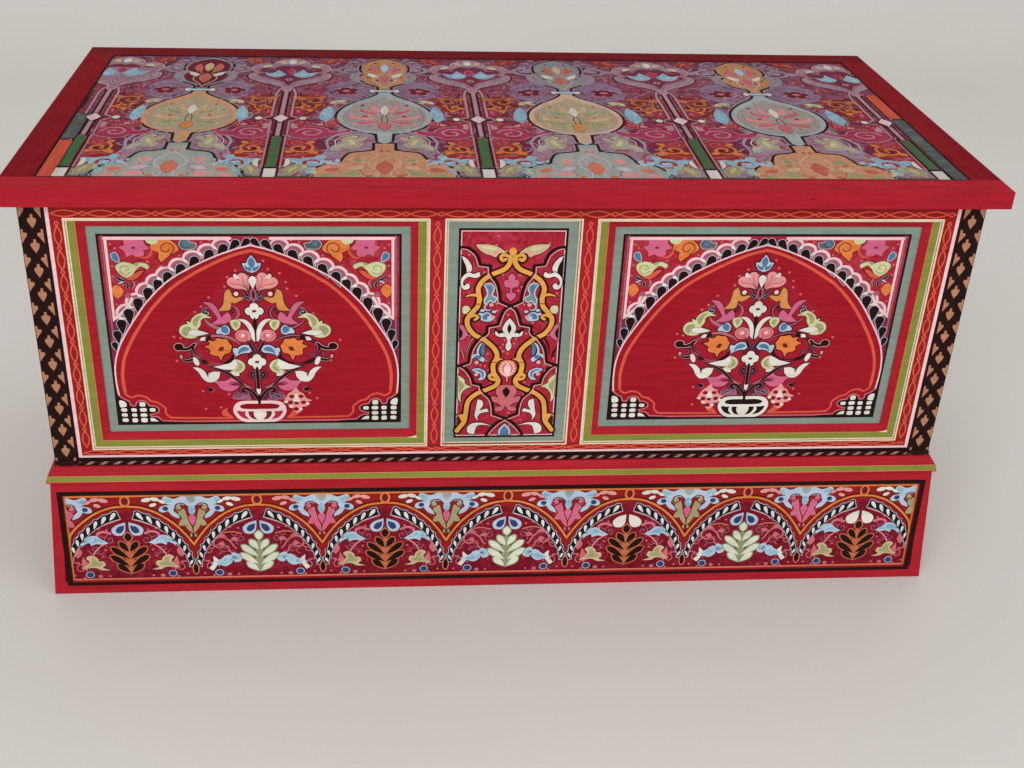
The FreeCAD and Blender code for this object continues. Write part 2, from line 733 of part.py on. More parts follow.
def make_lid(hinge_cutters):
    piece(long_lid_rail("lid_front_rail", "-"), "lid_front_rail")
    piece(cut("lid_back_rail", long_lid_rail("lid_back_rail_blank", ""), hinge_cutters), "lid_back_rail")
    piece(short_lid_rail("lid_left_rail", "-"), "lid_left_rail")
    piece(short_lid_rail("lid_right_rail", ""), "lid_right_rail")
    length = "lid_opening_length / 2"
    depth = "lid_opening_depth / 2"
    field = block("lid_panel_field", around("0", length), around("0", depth),
                  ("carcass_top + lid_panel_lift", "carcass_top + lid_thickness - lid_panel_recess"))
    tongue = block("lid_panel_tongue", around("0", f"{length} + lid_tongue"),
                   around("0", f"{depth} + lid_tongue"),
                   ("carcass_top + lid_groove_lift", "carcass_top + lid_groove_top"))
    batten_bottom = "carcass_top + lid_panel_lift - batten_thickness"
    battens = {"left": "-(lid_length / 2 - batten_inset)", "centre": "0",
               "right": "lid_length / 2 - batten_inset"}
    screws = []
    holes = []
    for side, x in battens.items():
        name = f"lid_batten_{side}"
        blank = block(name + "_blank", around(x, "batten_width / 2"),
                      around("carcass_middle", "carcass_depth / 2 - rail_thickness - batten_end_gap"),
                      (batten_bottom, "carcass_top + lid_panel_lift"))
        rows = [*around("carcass_middle", "batten_screw_pitch"), "carcass_middle"]
        own = []
        for index, y in enumerate(rows):
            spot = (x, y, batten_bottom, "batten_screw_length", True)
            screws.append(screw(f"{name}_screw_{index}", *spot))
            own.append(screw(f"{name}_hole_{index}", *spot, "screw_clearance"))
        piece(cut(name, blank, own), name)
        holes += own
    piece(cut("lid_panel", joined("lid_panel_blank", [field, tongue]), holes), "lid_panel")
    piece(group("lid_batten_screws", screws), "lid_batten_screws")


# The whole chest

def fill_sheet():
    sheet = DOC.addObject("Spreadsheet::Sheet", "Sizes")
    for row, (name, value) in enumerate(SIZES.items(), start=1):
        sheet.set(f"A{row}", name)
        sheet.set(f"B{row}", str(value))
        sheet.setAlias(f"B{row}", name)
    DOC.recompute()


def check_document():
    """Stop on a failed object, a bad shape or a cut that takes nothing away."""
    for item in DOC.Objects:
        if "Invalid" in item.State or "Error" in item.State:
            raise RuntimeError(f"{item.Label} could not be built: {item.State}")
        if item.TypeId == "PartDesign::Pocket" and not item.Shape.Volume < item.BaseFeature.Shape.Volume:
            raise RuntimeError(f"{item.Label} takes nothing away")
    for item in PIECES:
        if item.Shape.isNull() or not item.Shape.isValid():
            raise RuntimeError(f"{item.Label} has no valid shape")


def main():
    fill_sheet()
    lid_recesses, carcass_recesses = make_hinges()
    make_lid(lid_recesses)
    make_posts()
    make_front()
    make_ends()
    make_back(carcass_recesses)
    make_floor()
    make_rope_bead()
    make_waist_moulding()
    make_plinth()
    DOC.recompute()
    check_document()
    os.makedirs("parts", exist_ok=True)
    for item in PIECES:
        item.Shape.exportStep(f"parts/{item.Label}.step")
    print(f"{len(PIECES)} pieces written")


main()
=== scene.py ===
"""Looks of the painted dowry chest: enamel paint, brushed ornament and bare wood inside."""
import math

import bpy
from mathutils import Matrix, Vector, noise
from mathutils.geometry import tessellate_polygon


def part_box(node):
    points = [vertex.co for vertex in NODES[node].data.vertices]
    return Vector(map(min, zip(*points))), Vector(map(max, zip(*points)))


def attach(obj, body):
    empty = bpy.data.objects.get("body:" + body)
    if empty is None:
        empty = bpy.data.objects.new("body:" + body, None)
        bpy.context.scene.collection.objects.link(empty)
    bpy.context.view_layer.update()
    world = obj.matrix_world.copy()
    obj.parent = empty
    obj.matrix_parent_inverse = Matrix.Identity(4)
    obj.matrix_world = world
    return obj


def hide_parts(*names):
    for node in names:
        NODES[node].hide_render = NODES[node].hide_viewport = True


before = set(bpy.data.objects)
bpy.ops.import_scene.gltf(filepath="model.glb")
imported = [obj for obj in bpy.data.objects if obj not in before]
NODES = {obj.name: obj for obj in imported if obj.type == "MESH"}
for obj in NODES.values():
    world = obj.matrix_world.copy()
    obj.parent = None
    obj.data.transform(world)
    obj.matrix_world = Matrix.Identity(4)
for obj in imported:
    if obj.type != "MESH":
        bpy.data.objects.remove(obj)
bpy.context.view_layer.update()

MM = 0.001


def corner(node, side):
    """The lowest (0) or highest (1) corner of a CAD node, in millimetres."""
    return [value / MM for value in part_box(node)[side]]


# Camera and meshes

def make_camera():
    """The photograph's view, fitted to points measured in it at 1024 x 768."""
    width, sensor = 1024, 36
    eye = (-0.1553, -1.6006, 1.1466)
    pitch, yaw, roll = math.radians(27.56), math.radians(4.75), math.radians(2.03)
    focal, across, down = 1233.2, -36.3, -90.1
    forward = Vector((math.sin(yaw) * math.cos(pitch), math.cos(yaw) * math.cos(pitch), -math.sin(pitch)))
    right = Vector((math.cos(yaw), -math.sin(yaw), 0))
    up = right.cross(forward)
    level = right * math.cos(roll) + up * math.sin(roll)
    upright = up * math.cos(roll) - right * math.sin(roll)
    camera = bpy.data.objects.new("camera", bpy.data.cameras.new("camera"))
    bpy.context.scene.collection.objects.link(camera)
    turn = Matrix((level, upright, -forward)).transposed().to_4x4()
    camera.matrix_world = Matrix.Translation(eye) @ turn
    camera.data.sensor_width = sensor
    camera.data.lens = focal / width * sensor
    camera.data.shift_x = -across / width
    camera.data.shift_y = down / width
    camera.data.clip_end = 50
    bpy.context.scene.camera = camera


def add_mesh(name, vertices, faces, materials):
    """A new object whose place is in its vertices."""
    mesh = bpy.data.meshes.new(name)
    mesh.from_pydata(vertices, [], faces)
    for material in materials:
        mesh.materials.append(material)
    piece = bpy.data.objects.new(name, mesh)
    bpy.context.scene.collection.objects.link(piece)
    return piece


# Materials

def linear(rgb):
    """Eight-bit screen colour to the linear colour that shaders take."""
    values = [c / 255 for c in rgb]
    return [c / 12.92 if c <= 0.04045 else ((c + 0.055) / 1.055) ** 2.4 for c in values] + [1.0]


class Nodes:
    """Short calls for a material's node tree."""

    def __init__(self, name):
        self.material = bpy.data.materials.new(name)
        self.material.use_nodes = True
        self.tree = self.material.node_tree
        self.shader = self.tree.nodes["Principled BSDF"]
        coordinates = self.tree.nodes.new("ShaderNodeTexCoord")
        self.place = coordinates.outputs["Object"]

    def join(self, source, target):
        self.tree.links.new(source, target)

    def put(self, value, socket):
        """Give a socket a number, a colour or another node's output."""
        if hasattr(value, "links"):
            self.join(value, socket)
        else:
            socket.default_value = value

    def stretch(self, scale, place=None):
        node = self.tree.nodes.new("ShaderNodeMapping")
        self.join(place or self.place, node.inputs["Vector"])
        node.inputs["Scale"].default_value = scale
        return node.outputs["Vector"]

    def grain(self, scale, detail=3.0, rough=0.55, place=None, warp=0.0):
        node = self.tree.nodes.new("ShaderNodeTexNoise")
        self.join(place or self.place, node.inputs["Vector"])
        node.inputs["Scale"].default_value = scale
        node.inputs["Detail"].default_value = detail
        node.inputs["Roughness"].default_value = rough
        node.inputs["Distortion"].default_value = warp
        return node.outputs["Fac"]

    def remap(self, value, low, high, to_low=0.0, to_high=1.0):
        node = self.tree.nodes.new("ShaderNodeMapRange")
        self.join(value, node.inputs["Value"])
        for name, number in (("From Min", low), ("From Max", high), ("To Min", to_low),
                             ("To Max", to_high)):
            node.inputs[name].default_value = number
        return node.outputs["Result"]

    def math(self, kind, first, second=0.0, third=0.0):
        node = self.tree.nodes.new("ShaderNodeMath")
        node.operation = kind
        for socket, value in zip(node.inputs, (first, second, third)):
            self.put(value, socket)
        return node.outputs["Value"]

    def mix(self, factor, first, second, kind="MIX"):
        node = self.tree.nodes.new("ShaderNodeMix")
        node.data_type = "RGBA"
        node.blend_type = kind
        self.put(factor, node.inputs[0])
        self.put(first, node.inputs[6])
        self.put(second, node.inputs[7])
        return node.outputs[2]

    def bump(self, height, strength, distance=0.001):
        node = self.tree.nodes.new("ShaderNodeBump")
        node.inputs["Strength"].default_value = strength
        node.inputs["Distance"].default_value = distance
        self.join(height, node.inputs["Height"])
        self.join(node.outputs["Normal"], self.shader.inputs["Normal"])

    def set(self, **values):
        for name, value in values.items():
            self.put(value, self.shader.inputs[name.replace("_", " ")])


def drawn_out(axis, along, across):
    """The scale of a texture that is drawn out along one axis."""
    return [along if letter == axis else across for letter in "xyz"]


def paint_colour(n, rgb, along):
    """Brushed enamel: broad patches under fine streaks that follow the brush."""
    spread = 0.16
    base = linear(rgb)
    deep = [c * (1 - spread) for c in base[:3]] + [1]
    light = [min(1.0, c * (1 + spread) + 0.002) for c in base[:3]] + [1]
    patches = n.grain(9, 4, 0.6)
    streaks = n.grain(1, 5, 0.62, n.stretch(drawn_out(along, 14, 150)), 0.3)
    tone = n.math("MULTIPLY_ADD", n.remap(streaks, 0.3, 0.7), 0.55, n.math("MULTIPLY", patches, 0.55))
    return n.mix(n.remap(tone, 0.22, 0.9), deep, light), streaks


def inner_mask(n, low, high):
    """One inside the box from low to high, in metres, and nought outside it."""
    split = n.tree.nodes.new("ShaderNodeSeparateXYZ")
    n.join(n.place, split.inputs["Vector"])
    mask = None
    for axis, a, b in zip("XYZ", low, high):
        for kind, bound in (("GREATER_THAN", a), ("LESS_THAN", b)):
            test = n.math(kind, split.outputs[axis], bound)
            mask = test if mask is None else n.math("MULTIPLY", mask, test)
    return mask


def wood_colour(n, along):
    """Pale softwood with grain lines along one axis."""
    scale = drawn_out(along, 1.2, 26)
    lines = n.grain(4, 6, 0.6, n.stretch(scale), 1.4)
    fine = n.grain(30, 3, 0.6, n.stretch(scale))
    tone = n.math("MULTIPLY_ADD", fine, 0.35, n.math("MULTIPLY", lines, 0.75))
    return n.mix(n.remap(tone, 0.35, 0.75), linear((196, 154, 104)), linear((138, 92, 52))), lines


def enamel(name, rgb, along="x", rough=0.42, inner=None, chips=0.0, gloss=0.1, mottle=(), ior=1.28):
    """Paint with patches of other tones and dark chips. Inside the inner box it is bare wood."""
    n = Nodes(name)
    colour, streaks = paint_colour(n, rgb, along)
    for i, other in enumerate(mottle):
        place = n.stretch((1 + i, 1.3 + i, 1.6))
        patch = n.remap(n.grain(26 + 17 * i, 3, 0.6, place, 1.5), 0.5, 0.62, 0, 0.85)
        colour = n.mix(patch, colour, linear(other))
    if chips:
        spots = n.remap(n.grain(55, 5, 0.72), 0.70 - chips, 0.74 - chips)
        colour = n.mix(spots, colour, [c * 0.42 for c in linear(rgb)[:3]] + [1])
    roughness = n.remap(n.grain(22, 4), 0.3, 0.75, rough - 0.06, rough + 0.14)
    if inner:
        mask = inner_mask(n, *inner)
        colour = n.mix(mask, colour, wood_colour(n, along)[0])
        roughness = n.math("MAXIMUM", roughness, n.math("MULTIPLY", mask, 0.72))
    n.set(Base_Color=colour, Roughness=roughness, Coat_Weight=0.02, Coat_Roughness=0.25,
          Specular_IOR_Level=gloss, IOR=ior)
    n.bump(streaks, 0.22, 0.0006)
    return n.material


def bare_wood(name, along):
    """Unpainted softwood, dry and dull."""
    n = Nodes(name)
    colour, lines = wood_colour(n, along)
    n.set(Base_Color=colour, Roughness=n.remap(lines, 0.3, 0.7, 0.6, 0.82), Specular_IOR_Level=0.3)
    n.bump(lines, 0.3, 0.0008)
    return n.material


def iron(name):
    """Dark iron with patches of rust."""
    n = Nodes(name)
    rust = n.remap(n.grain(60, 5, 0.65), 0.5, 0.68)
    colour = n.mix(rust, linear((70, 66, 64)), linear((96, 58, 36)))
    n.set(Base_Color=colour, Metallic=0.85, Roughness=n.remap(n.grain(90, 3), 0.3, 0.7, 0.4, 0.65))
    n.bump(n.grain(220, 3), 0.25, 0.0004)
    return n.material


# Screen colours of the paints, 0 to 255
COLOURS = {
    "mint": (214, 220, 198), "mint_line": (146, 150, 116), "red": (171, 32, 45), "deep_red": (135, 17, 21),
    "arch_red": (157, 22, 38), "chain_red": (149, 29, 30), "tree_ground": (161, 28, 46),
    "olive": (131, 137, 59), "steel": (115, 140, 145), "lilac": (168, 155, 174), "sand": (206, 178, 140),
    "wine": (108, 28, 47), "lid_ground": (136, 56, 75), "lid_pink": (194, 142, 154), "clay": (176, 127, 99),
    "clay_orange": (192, 108, 70), "pearl": (170, 179, 178), "ash": (166, 156, 156), "khaki": (180, 164, 137),
    "sage": (167, 169, 163), "apricot": (206, 150, 120), "ochre": (194, 138, 100), "smoke": (148, 146, 151),
    "shell_pink": (212, 178, 154), "raspberry": (173, 53, 88), "dusk": (143, 109, 138),
    "haze": (161, 134, 151), "rust_ground": (129, 38, 42), "deep_plum": (104, 44, 63),
    "lilac_white": (200, 186, 206), "brick": (165, 43, 39), "salmon": (214, 122, 96),
    "seafoam": (156, 169, 163), "peach_red": (196, 101, 85), "navy_black": (26, 24, 36),
    "crimson": (168, 43, 58), "magenta_ground": (170, 39, 56), "plinth_ground": (126, 22, 38),
    "outline": (61, 20, 26), "teal": (130, 145, 134), "black": (35, 18, 17), "cream": (229, 212, 184),
    "pink_white": (236, 200, 204), "white": (222, 218, 210), "coral": (212, 88, 66), "orange": (222, 128, 68),
    "amber": (216, 146, 82), "tan": (182, 135, 100), "peach": (214, 160, 120), "pink": (206, 100, 136),
    "rose": (202, 106, 114), "blush": (226, 150, 148), "mauve": (166, 94, 112), "plum": (118, 41, 68),
    "violet": (146, 114, 145), "blue": (80, 120, 155), "navy": (45, 67, 112), "sky": (140, 180, 200),
    "ice": (180, 197, 216), "leaf": (158, 158, 114), "pale_leaf": (204, 206, 158), "grey": (161, 162, 160),
    "slate": (82, 97, 98), "brown": (108, 37, 26), "gold": (226, 160, 74), "grass": (69, 110, 70),
}
# Other tones in patches of some paints
MOTTLED = {
    "lid_ground": ((170, 55, 71), (143, 106, 136)), "plinth_ground": ((138, 34, 58), (98, 18, 30)),
    "magenta_ground": ((180, 58, 79), (151, 26, 42)), "peach": ((194, 158, 121), (206, 132, 96)),
    "tan": ((175, 143, 107), (195, 131, 94)), "raspberry": ((186, 68, 106), (159, 35, 55)),
    "dusk": ((154, 126, 152), (123, 81, 112)), "haze": ((172, 150, 162), (148, 104, 130)),
    "rust_ground": ((159, 68, 47), (108, 35, 53)), "deep_plum": ((138, 73, 92), (95, 55, 68)),
    "brick": ((182, 67, 57), (137, 31, 46)), "pearl": ((160, 171, 172),),
    "ash": ((154, 149, 151), (173, 160, 157)), "khaki": ((168, 158, 130), (194, 170, 138)),
    "sage": ((158, 164, 161), (174, 172, 163)), "apricot": ((224, 158, 120), (195, 126, 90)),
    "shell_pink": ((204, 160, 132),), "ochre": ((179, 117, 74), (199, 142, 95)), "smoke": ((134, 135, 145),),
    "seafoam": ((133, 152, 148), (167, 161, 155)), "teal": ((132, 151, 145),), "olive": ((135, 139, 59),),
    "slate": ((108, 120, 114), (105, 71, 75)), "mauve": ((149, 102, 116), (167, 78, 105)),
    "sky": ((114, 165, 199), (176, 208, 226)), "amber": ((206, 130, 66),), "orange": ((210, 112, 54),),
}


PAINTS = {}
LID_DARKENING, LID_GLOSS, LID_IOR = 0.88, 0.05, 1.2


def paint(colour, along="x"):
    """One paint for each colour and brush direction. Those of the lid are darker and less glossy."""
    if (colour, along) not in PAINTS:
        tones = [COLOURS[colour], *MOTTLED.get(colour, ())]
        looks = {}
        if along == "y":
            tones = [[c * LID_DARKENING for c in tone] for tone in tones]
            looks = {"gloss": LID_GLOSS, "ior": LID_IOR}
        PAINTS[colour, along] = enamel(f"{colour}_paint_{along}", tones[0], along, mottle=tones[1:], **looks)
    return PAINTS[colour, along]


# Brush work: paths in millimetres, written as x,y and an exclamation mark for a sharp corner

def path(text):
    """The points of a text, each with its x, its y and whether it is a sharp corner."""
    if not isinstance(text, str):
        return text
    points = []
    for word in text.split():
        x, y = word.rstrip("!").split(",")
        points.append((float(x), float(y), word.endswith("!")))
    return points


def bend(start, end, before, after, share):
    """A point on the smooth curve from start to end."""
    square, cube = share ** 2, share ** 3
    a, b, c = 2 * cube - 3 * square + 1, cube - 2 * square + share, cube - square
    return [a * start[i] + b * before[i] + (1 - a) * end[i] + c * after[i] for i in (0, 1)]


MOST_PARTS = 7


def smooth(points, closed=False, step=2.2):
    """The dense line through the points, smooth but for its sharp corners."""
    count = len(points)
    if count < 3:
        closed = False
    line = []
    spans = count if closed else count - 1
    for i in range(spans):
        start, end = points[i], points[(i + 1) % count]
        length = math.dist(start[:2], end[:2])
        tangents = []
        for k, here in ((i, start), ((i + 1) % count, end)):
            if here[2] or (not closed and k in (0, count - 1)):
                tangents.append([end[j] - start[j] for j in (0, 1)])
            else:
                last, following = points[k - 1], points[(k + 1) % count]
                whole = math.dist(last[:2], here[:2]) + math.dist(here[:2], following[:2])
                share = length / max(whole, 1e-6)
                tangents.append([(following[j] - last[j]) * share for j in (0, 1)])
        straight = start[2] and end[2]
        parts = 1 if straight else max(1, min(MOST_PARTS, round(length / step) + 1))
        line += [bend(start, end, tangents[0], tangents[1], part / parts) for part in range(parts)]
    if not closed:
        line.append(list(points[-1][:2]))
    return line


def extent(points):
    """How wide and how tall a figure is."""
    across, upward = [p[0] for p in points], [p[1] for p in points]
    return max(across) - min(across), max(upward) - min(upward)


def mirrored(points):
    """The points on the other side of x = 0."""
    return [(-x, y, sharp) for x, y, sharp in points]


def spaced(points, closed, gap):
    """The smooth line through the points, without steps shorter than the gap."""
    dense = []
    for point in smooth(points, closed):
        if not dense or math.dist(dense[-1], point) > gap:
            dense.append(point)
    return dense


def both(half):
    """A closed shape, even about x = 0, from the points of one half in their order."""
    half = path(half)
    return half + [p for p in reversed(mirrored(half)) if abs(p[0]) > 0.01]


def ring(x, y, across, upward=None, count=10, turn=0.0):
    """A round or oval shape about x, y."""
    upward = upward or across
    c, s = math.cos(turn), math.sin(turn)
    points = []
    for i in range(count):
        a = 2 * math.pi * i / count
        u, v = across * math.cos(a), upward * math.sin(a)
        points.append((x + u * c - v * s, y + u * s + v * c, False))
    return points


def drop(x, y, tip_x, tip_y, radius):
    """A teardrop, round at x, y and pointed at its tip."""
    a = math.atan2(tip_y - y, tip_x - x)
    points = [(tip_x, tip_y, True)]
    for turn in (70, 110, 150, 180, 210, 250, 290):
        b = a + math.radians(turn)
        points.append((x + radius * math.cos(b), y + radius * math.sin(b), False))
    return points


class Art(list):
    """Figures to paint, in millimetres, each with its colour and its level above the wood.

    A fill is ("fill", points, colour, level), a line ("line", points, colour, level, width, closed, shape).
    """

    def fill(self, points, colour, level=4, edge=None, width=1.0):
        points = path(points)
        if edge:
            self.append(("line", points, edge, level - 1, width * 2, True, "even"))
        self.append(("fill", points, colour, level))

    def line(self, points, colour, width=1.6, level=4, closed=False, shape="even", edge=None, rim=0.9):
        points = path(points)
        if edge:
            self.append(("line", points, edge, level - 1, width + rim * 2, closed, shape))
        self.append(("line", points, colour, level, width, closed, shape))

    def add(self, other, x=0.0, y=0.0, turn=0.0, size=1.0, flip=False, lift=0):
        """Add the other's figures, turned, sized, flipped, moved and lifted."""
        c, s = math.cos(math.radians(turn)) * size, math.sin(math.radians(turn)) * size
        side = -1 if flip else 1
        for item in other:
            points = [(x + side * (u * c - v * s), y + u * s + v * c, k) for u, v, k in item[1]]
            rest = list(item[2:])
            rest[1] += lift
            if item[0] == "line":
                rest[2] *= size
            self.append((item[0], points, *rest))

    def pair(self, other):
        """Add the other's figures and their mirror image."""
        self.add(other)
        self.add(other, flip=True)

    def mapped(self, place):
        """The same figures with each point at place(x, y)."""
        return Art((kind, [(*place(u, v), k) for u, v, k in points], *rest)
                   for kind, points, *rest in self)

    def within(self, reach, low, high):
        """The same figures pressed into a field that reaches as far to either side."""
        return self.mapped(lambda u, v: (max(-reach, min(reach, u)), max(low, min(high, v))))


def outlined(art, colour, width, level=2.4):
    """The same figures over a dark line round each that isn't part of the ground."""
    out = Art()
    for kind, points, _, height, *rest in art:
        if height < 4:
            continue
        if kind == "fill":
            out.append(("line", points, colour, level, width * 2, True, "even"))
        elif not rest[1]:
            out.append(("line", points, colour, level, rest[0] + width * 2, False, rest[2]))
    out.extend(art)
    return out


HAIR, HAIRS = 0.01, 60
CLIMB, SHAKE = 0.35, 0.22

# How wide a stroke is on its way: all along, thick at one end, or thin at both ends
SHAPES = {
    "even": lambda share: 1,
    "out": lambda share: 1 - 0.82 * share,
    "in": lambda share: 0.18 + 0.82 * share,
    "both": lambda share: 0.25 + 0.75 * math.sin(math.pi * share),
}


def round_end(rail, sign):
    """Three more places that close a stroke's end, from the stroke outwards."""
    u, v, du, dv, way = rail
    half = math.hypot(du, dv)
    return [(u + way.x * half * sign * reach, v + way.y * half * sign * reach, du * share, dv * share, way)
            for reach, share in ((0.5, 0.87), (0.87, 0.5), (1.0, 0.05))]


def stroke_rails(dense, width, closed, shape):
    """Places along a stroke, each with its half width across it and its way."""
    count = len(dense)
    run = [0.0]
    for i in range(1, count):
        run.append(run[-1] + math.dist(dense[i - 1], dense[i]))
    rails = []
    for i, (u, v) in enumerate(dense):
        before = dense[i - 1] if i or closed else dense[i]
        after = dense[(i + 1) % count] if i < count - 1 or closed else dense[i]
        first = Vector((u - before[0], v - before[1]))
        second = Vector((after[0] - u, after[1] - v))
        first = first.normalized() if first.length > 1e-6 else second.normalized()
        second = second.normalized() if second.length > 1e-6 else first
        way = first + second
        way = way.normalized() if way.length > 1e-3 else first
        miter = 1 / max(0.5, way.dot(first))
        half = width / 2 * miter * SHAPES[shape](run[i] / max(run[-1], 1e-6))
        rails.append((u, v, -way.y * half, way.x * half, way))
    return rails


class Canvas:
    """A flat face to paint on. Its figures go to one object for each colour of its side."""

    def __init__(self, name, side, origin, right, up, step=0.1):
        self.name, self.side, self.step = name, side, step
        self.origin, self.right, self.up = Vector(origin), Vector(right), Vector(up)
        self.out = self.right.cross(self.up).normalized()
        self.colours = {}
        self.drawn = 0

    def place(self, u, v, level):
        return (self.origin + self.right * u + self.up * v + self.out * (self.step * level)) * MM

    def faces(self, points, triangles, colour, level, climb=None):
        """Add a figure. Each lies a hair above the last one of its level, so no two share a plane."""
        vertices, faces = self.colours.setdefault(colour, ([], []))
        first = len(vertices)
        self.drawn += 1
        level += self.drawn % HAIRS * HAIR
        climb = climb or [0.0] * len(points)
        vertices += [self.place(u, v, level + rise) for (u, v), rise in zip(points, climb)]
        for a, b, c in triangles:
            (ax, ay), (bx, by), (cx, cy) = points[a], points[b], points[c]
            turn = (bx - ax) * (cy - ay) - (by - ay) * (cx - ax)
            if abs(turn) > 1e-7:
                b, c = (b, c) if turn > 0 else (c, b)
                faces.append((first + a, first + b, first + c))

    def shaken(self, points):
        """The small unsteadiness of a brush held by hand."""
        out = []
        for u, v in points:
            at = Vector((u * 0.11, v * 0.11, len(self.name) * 3.7))
            out.append((u + SHAKE * noise.noise(at), v + SHAKE * noise.noise(at + Vector((31, 7, 5)))))
        return out

    def fill(self, points, colour, level):
        dense = self.shaken(spaced(points, True, 0.02))
        self.faces(dense, tessellate_polygon([[Vector((u, v, 0)) for u, v in dense]]), colour, level)

    def line(self, points, colour, level, width, closed=False, shape="even"):
        dense = spaced(points, closed, 0.05)
        if closed and math.dist(dense[0], dense[-1]) < 0.05:
            dense.pop()
        if len(dense) < 2:
            return
        rails = stroke_rails(self.shaken(dense), width, closed, shape)
        if not closed:
            rails = round_end(rails[0], -1)[::-1] + rails + round_end(rails[-1], 1)
        total = len(rails)
        flat = [(u + side * du, v + side * dv) for side in (1, -1) for u, v, du, dv, _ in rails]
        triangles = []
        for i in range(total if closed else total - 1):
            j = (i + 1) % total
            triangles += [(i, j, total + j), (i, total + j, total + i)]
        climb = [CLIMB * i / total for i in range(total)] * 2
        self.faces(flat, triangles, colour, level, None if closed else climb)

    def band(self, low, high, colour, level):
        """A straight rectangle from corner to corner, in parts of about 60 mm."""
        (a, b), (c, d) = low, high
        parts = max(1, round(max(c - a, d - b) / 60))
        points, triangles = [], []
        for i in range(parts + 1):
            share = i / parts
            if c - a > d - b:
                points += [(a + (c - a) * share, b), (a + (c - a) * share, d)]
            else:
                points += [(a, b + (d - b) * share), (c, b + (d - b) * share)]
        for k in range(0, 2 * parts, 2):
            triangles += [(k, k + 1, k + 3), (k, k + 3, k + 2)]
        self.faces(points, triangles, colour, level)

    def frame(self, low, high, width, colour, level):
        """A rectangular line whose outer edge runs from corner to corner."""
        (a, b), (c, d) = low, high
        self.band((a, b), (a + width, d), colour, level)
        self.band((c - width, b), (c, d), colour, level)
        self.band((a + width, b), (c - width, b + width), colour, level)
        self.band((a + width, d - width), (c - width, d), colour, level)

    def draw(self, art, x=0.0, y=0.0, flip=False):
        """Paint the figures with their middle at x, y."""
        moved = Art()
        moved.add(art, x, y, flip=flip)
        for kind, points, *rest in moved:
            if kind == "fill":
                self.fill(points, *rest)
            else:
                self.line(points, *rest)

    def finish(self):
        """Hand the figures over to the side of the chest that they are on."""
        for colour, (vertices, faces) in self.colours.items():
            all_vertices, all_faces = SIDES.setdefault(self.side, {}).setdefault(colour, ([], []))
            first = len(all_vertices)
            all_vertices += vertices
            all_faces += [tuple(first + i for i in face) for face in faces]


SIDES = {}
# The two axes of each side's texture
FLAT = {"front": (0, 2), "back": (0, 2), "left_end": (1, 2), "right_end": (1, 2), "lid_top": (0, 1)}


def finish_sides():
    """One object for each colour on each side, unrolled flat for its texture."""
    for side, colours in SIDES.items():
        across, upward = FLAT[side]
        body = "lid" if side.startswith("lid") else "carcass"
        along = {"front": "x", "back": "x", "lid_top": "y"}.get(side, "z")
        for colour, (vertices, faces) in colours.items():
            places = [tuple(v) for v in vertices]
            piece = add_mesh(f"{side}_paint_{colour}", places, faces, [paint(colour, along)])
            us, vs = [v[across] for v in vertices], [v[upward] for v in vertices]
            low_u, low_v = min(us), min(vs)
            size = max(max(us) - low_u, max(vs) - low_v, MM)
            layer = piece.data.uv_layers.new(name="OFBake")
            for loop in piece.data.loops:
                i = loop.vertex_index
                parts = (us[i] - low_u, vs[i] - low_v)
                layer.data[loop.index].uv = [0.01 + 0.98 * part / size for part in parts]
            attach(piece, body)


# Arch panels, drawn in millimetres from the middle of the foot. Most paths are a left half

ARCH = ("-175,79 -176.5,98 -176,118 -172,138 -164.5,157 -150,182 -129,213 -101,242 -73.6,259.6 -45.8,274 "
        "-18,285 0,290!")
INNER_ARCH = ("-167,84 -168,100 -167,115 -162.5,135 -152.8,157 -138.9,181 -120.8,207 -95.8,233.7 -68,253 "
              "-40.3,268.4 -18,278 0,283!")
STEP_OUT = ("-175.6,78.6! -169,73 -163.4,70! -162,63.6! -156.3,63 -154,68 -148.4,70.7 -142,68.6 -139,62.9! "
            "-132,62 -127.7,58.6 -128,53.6 -132.7,50.7 -139,49.3! -137.7,46.9 -129.9,45.7 -123.4,39.7! "
            "-96,38.6! 0,38.6!")
STEP_IN = ("-167.3,81.4! -162,76.4 -158.4,75.7 -153.4,77.9 -147.7,78 -140.6,75 -136.3,70 -129,67.9 "
           "-123.4,63.6 -119,58.6 -119,51.4 -113.4,44.3! -96,43.6! -35,42.9!")
# Half the width of the arch as it is drawn, the height of its foot, and how much lower the openings are
DRAWN_HALF, DRAWN_FOOT, SQUEEZE = 177.9, 36.2, 0.993


def sampled(text, spacing, closed=False):
    """Places along a path at even distances, with the way that it runs there."""
    line = smooth(path(text), closed, 1.0)
    places, left = [], 0.0
    for a, b in zip(line, line[1:]):
        length = math.dist(a, b)
        at = left
        while at < length:
            share = at / length
            places.append((a[0] + (b[0] - a[0]) * share, a[1] + (b[1] - a[1]) * share,
                           (b[0] - a[0]) / length, (b[1] - a[1]) / length))
            at += spacing
        left = at - length
    return places


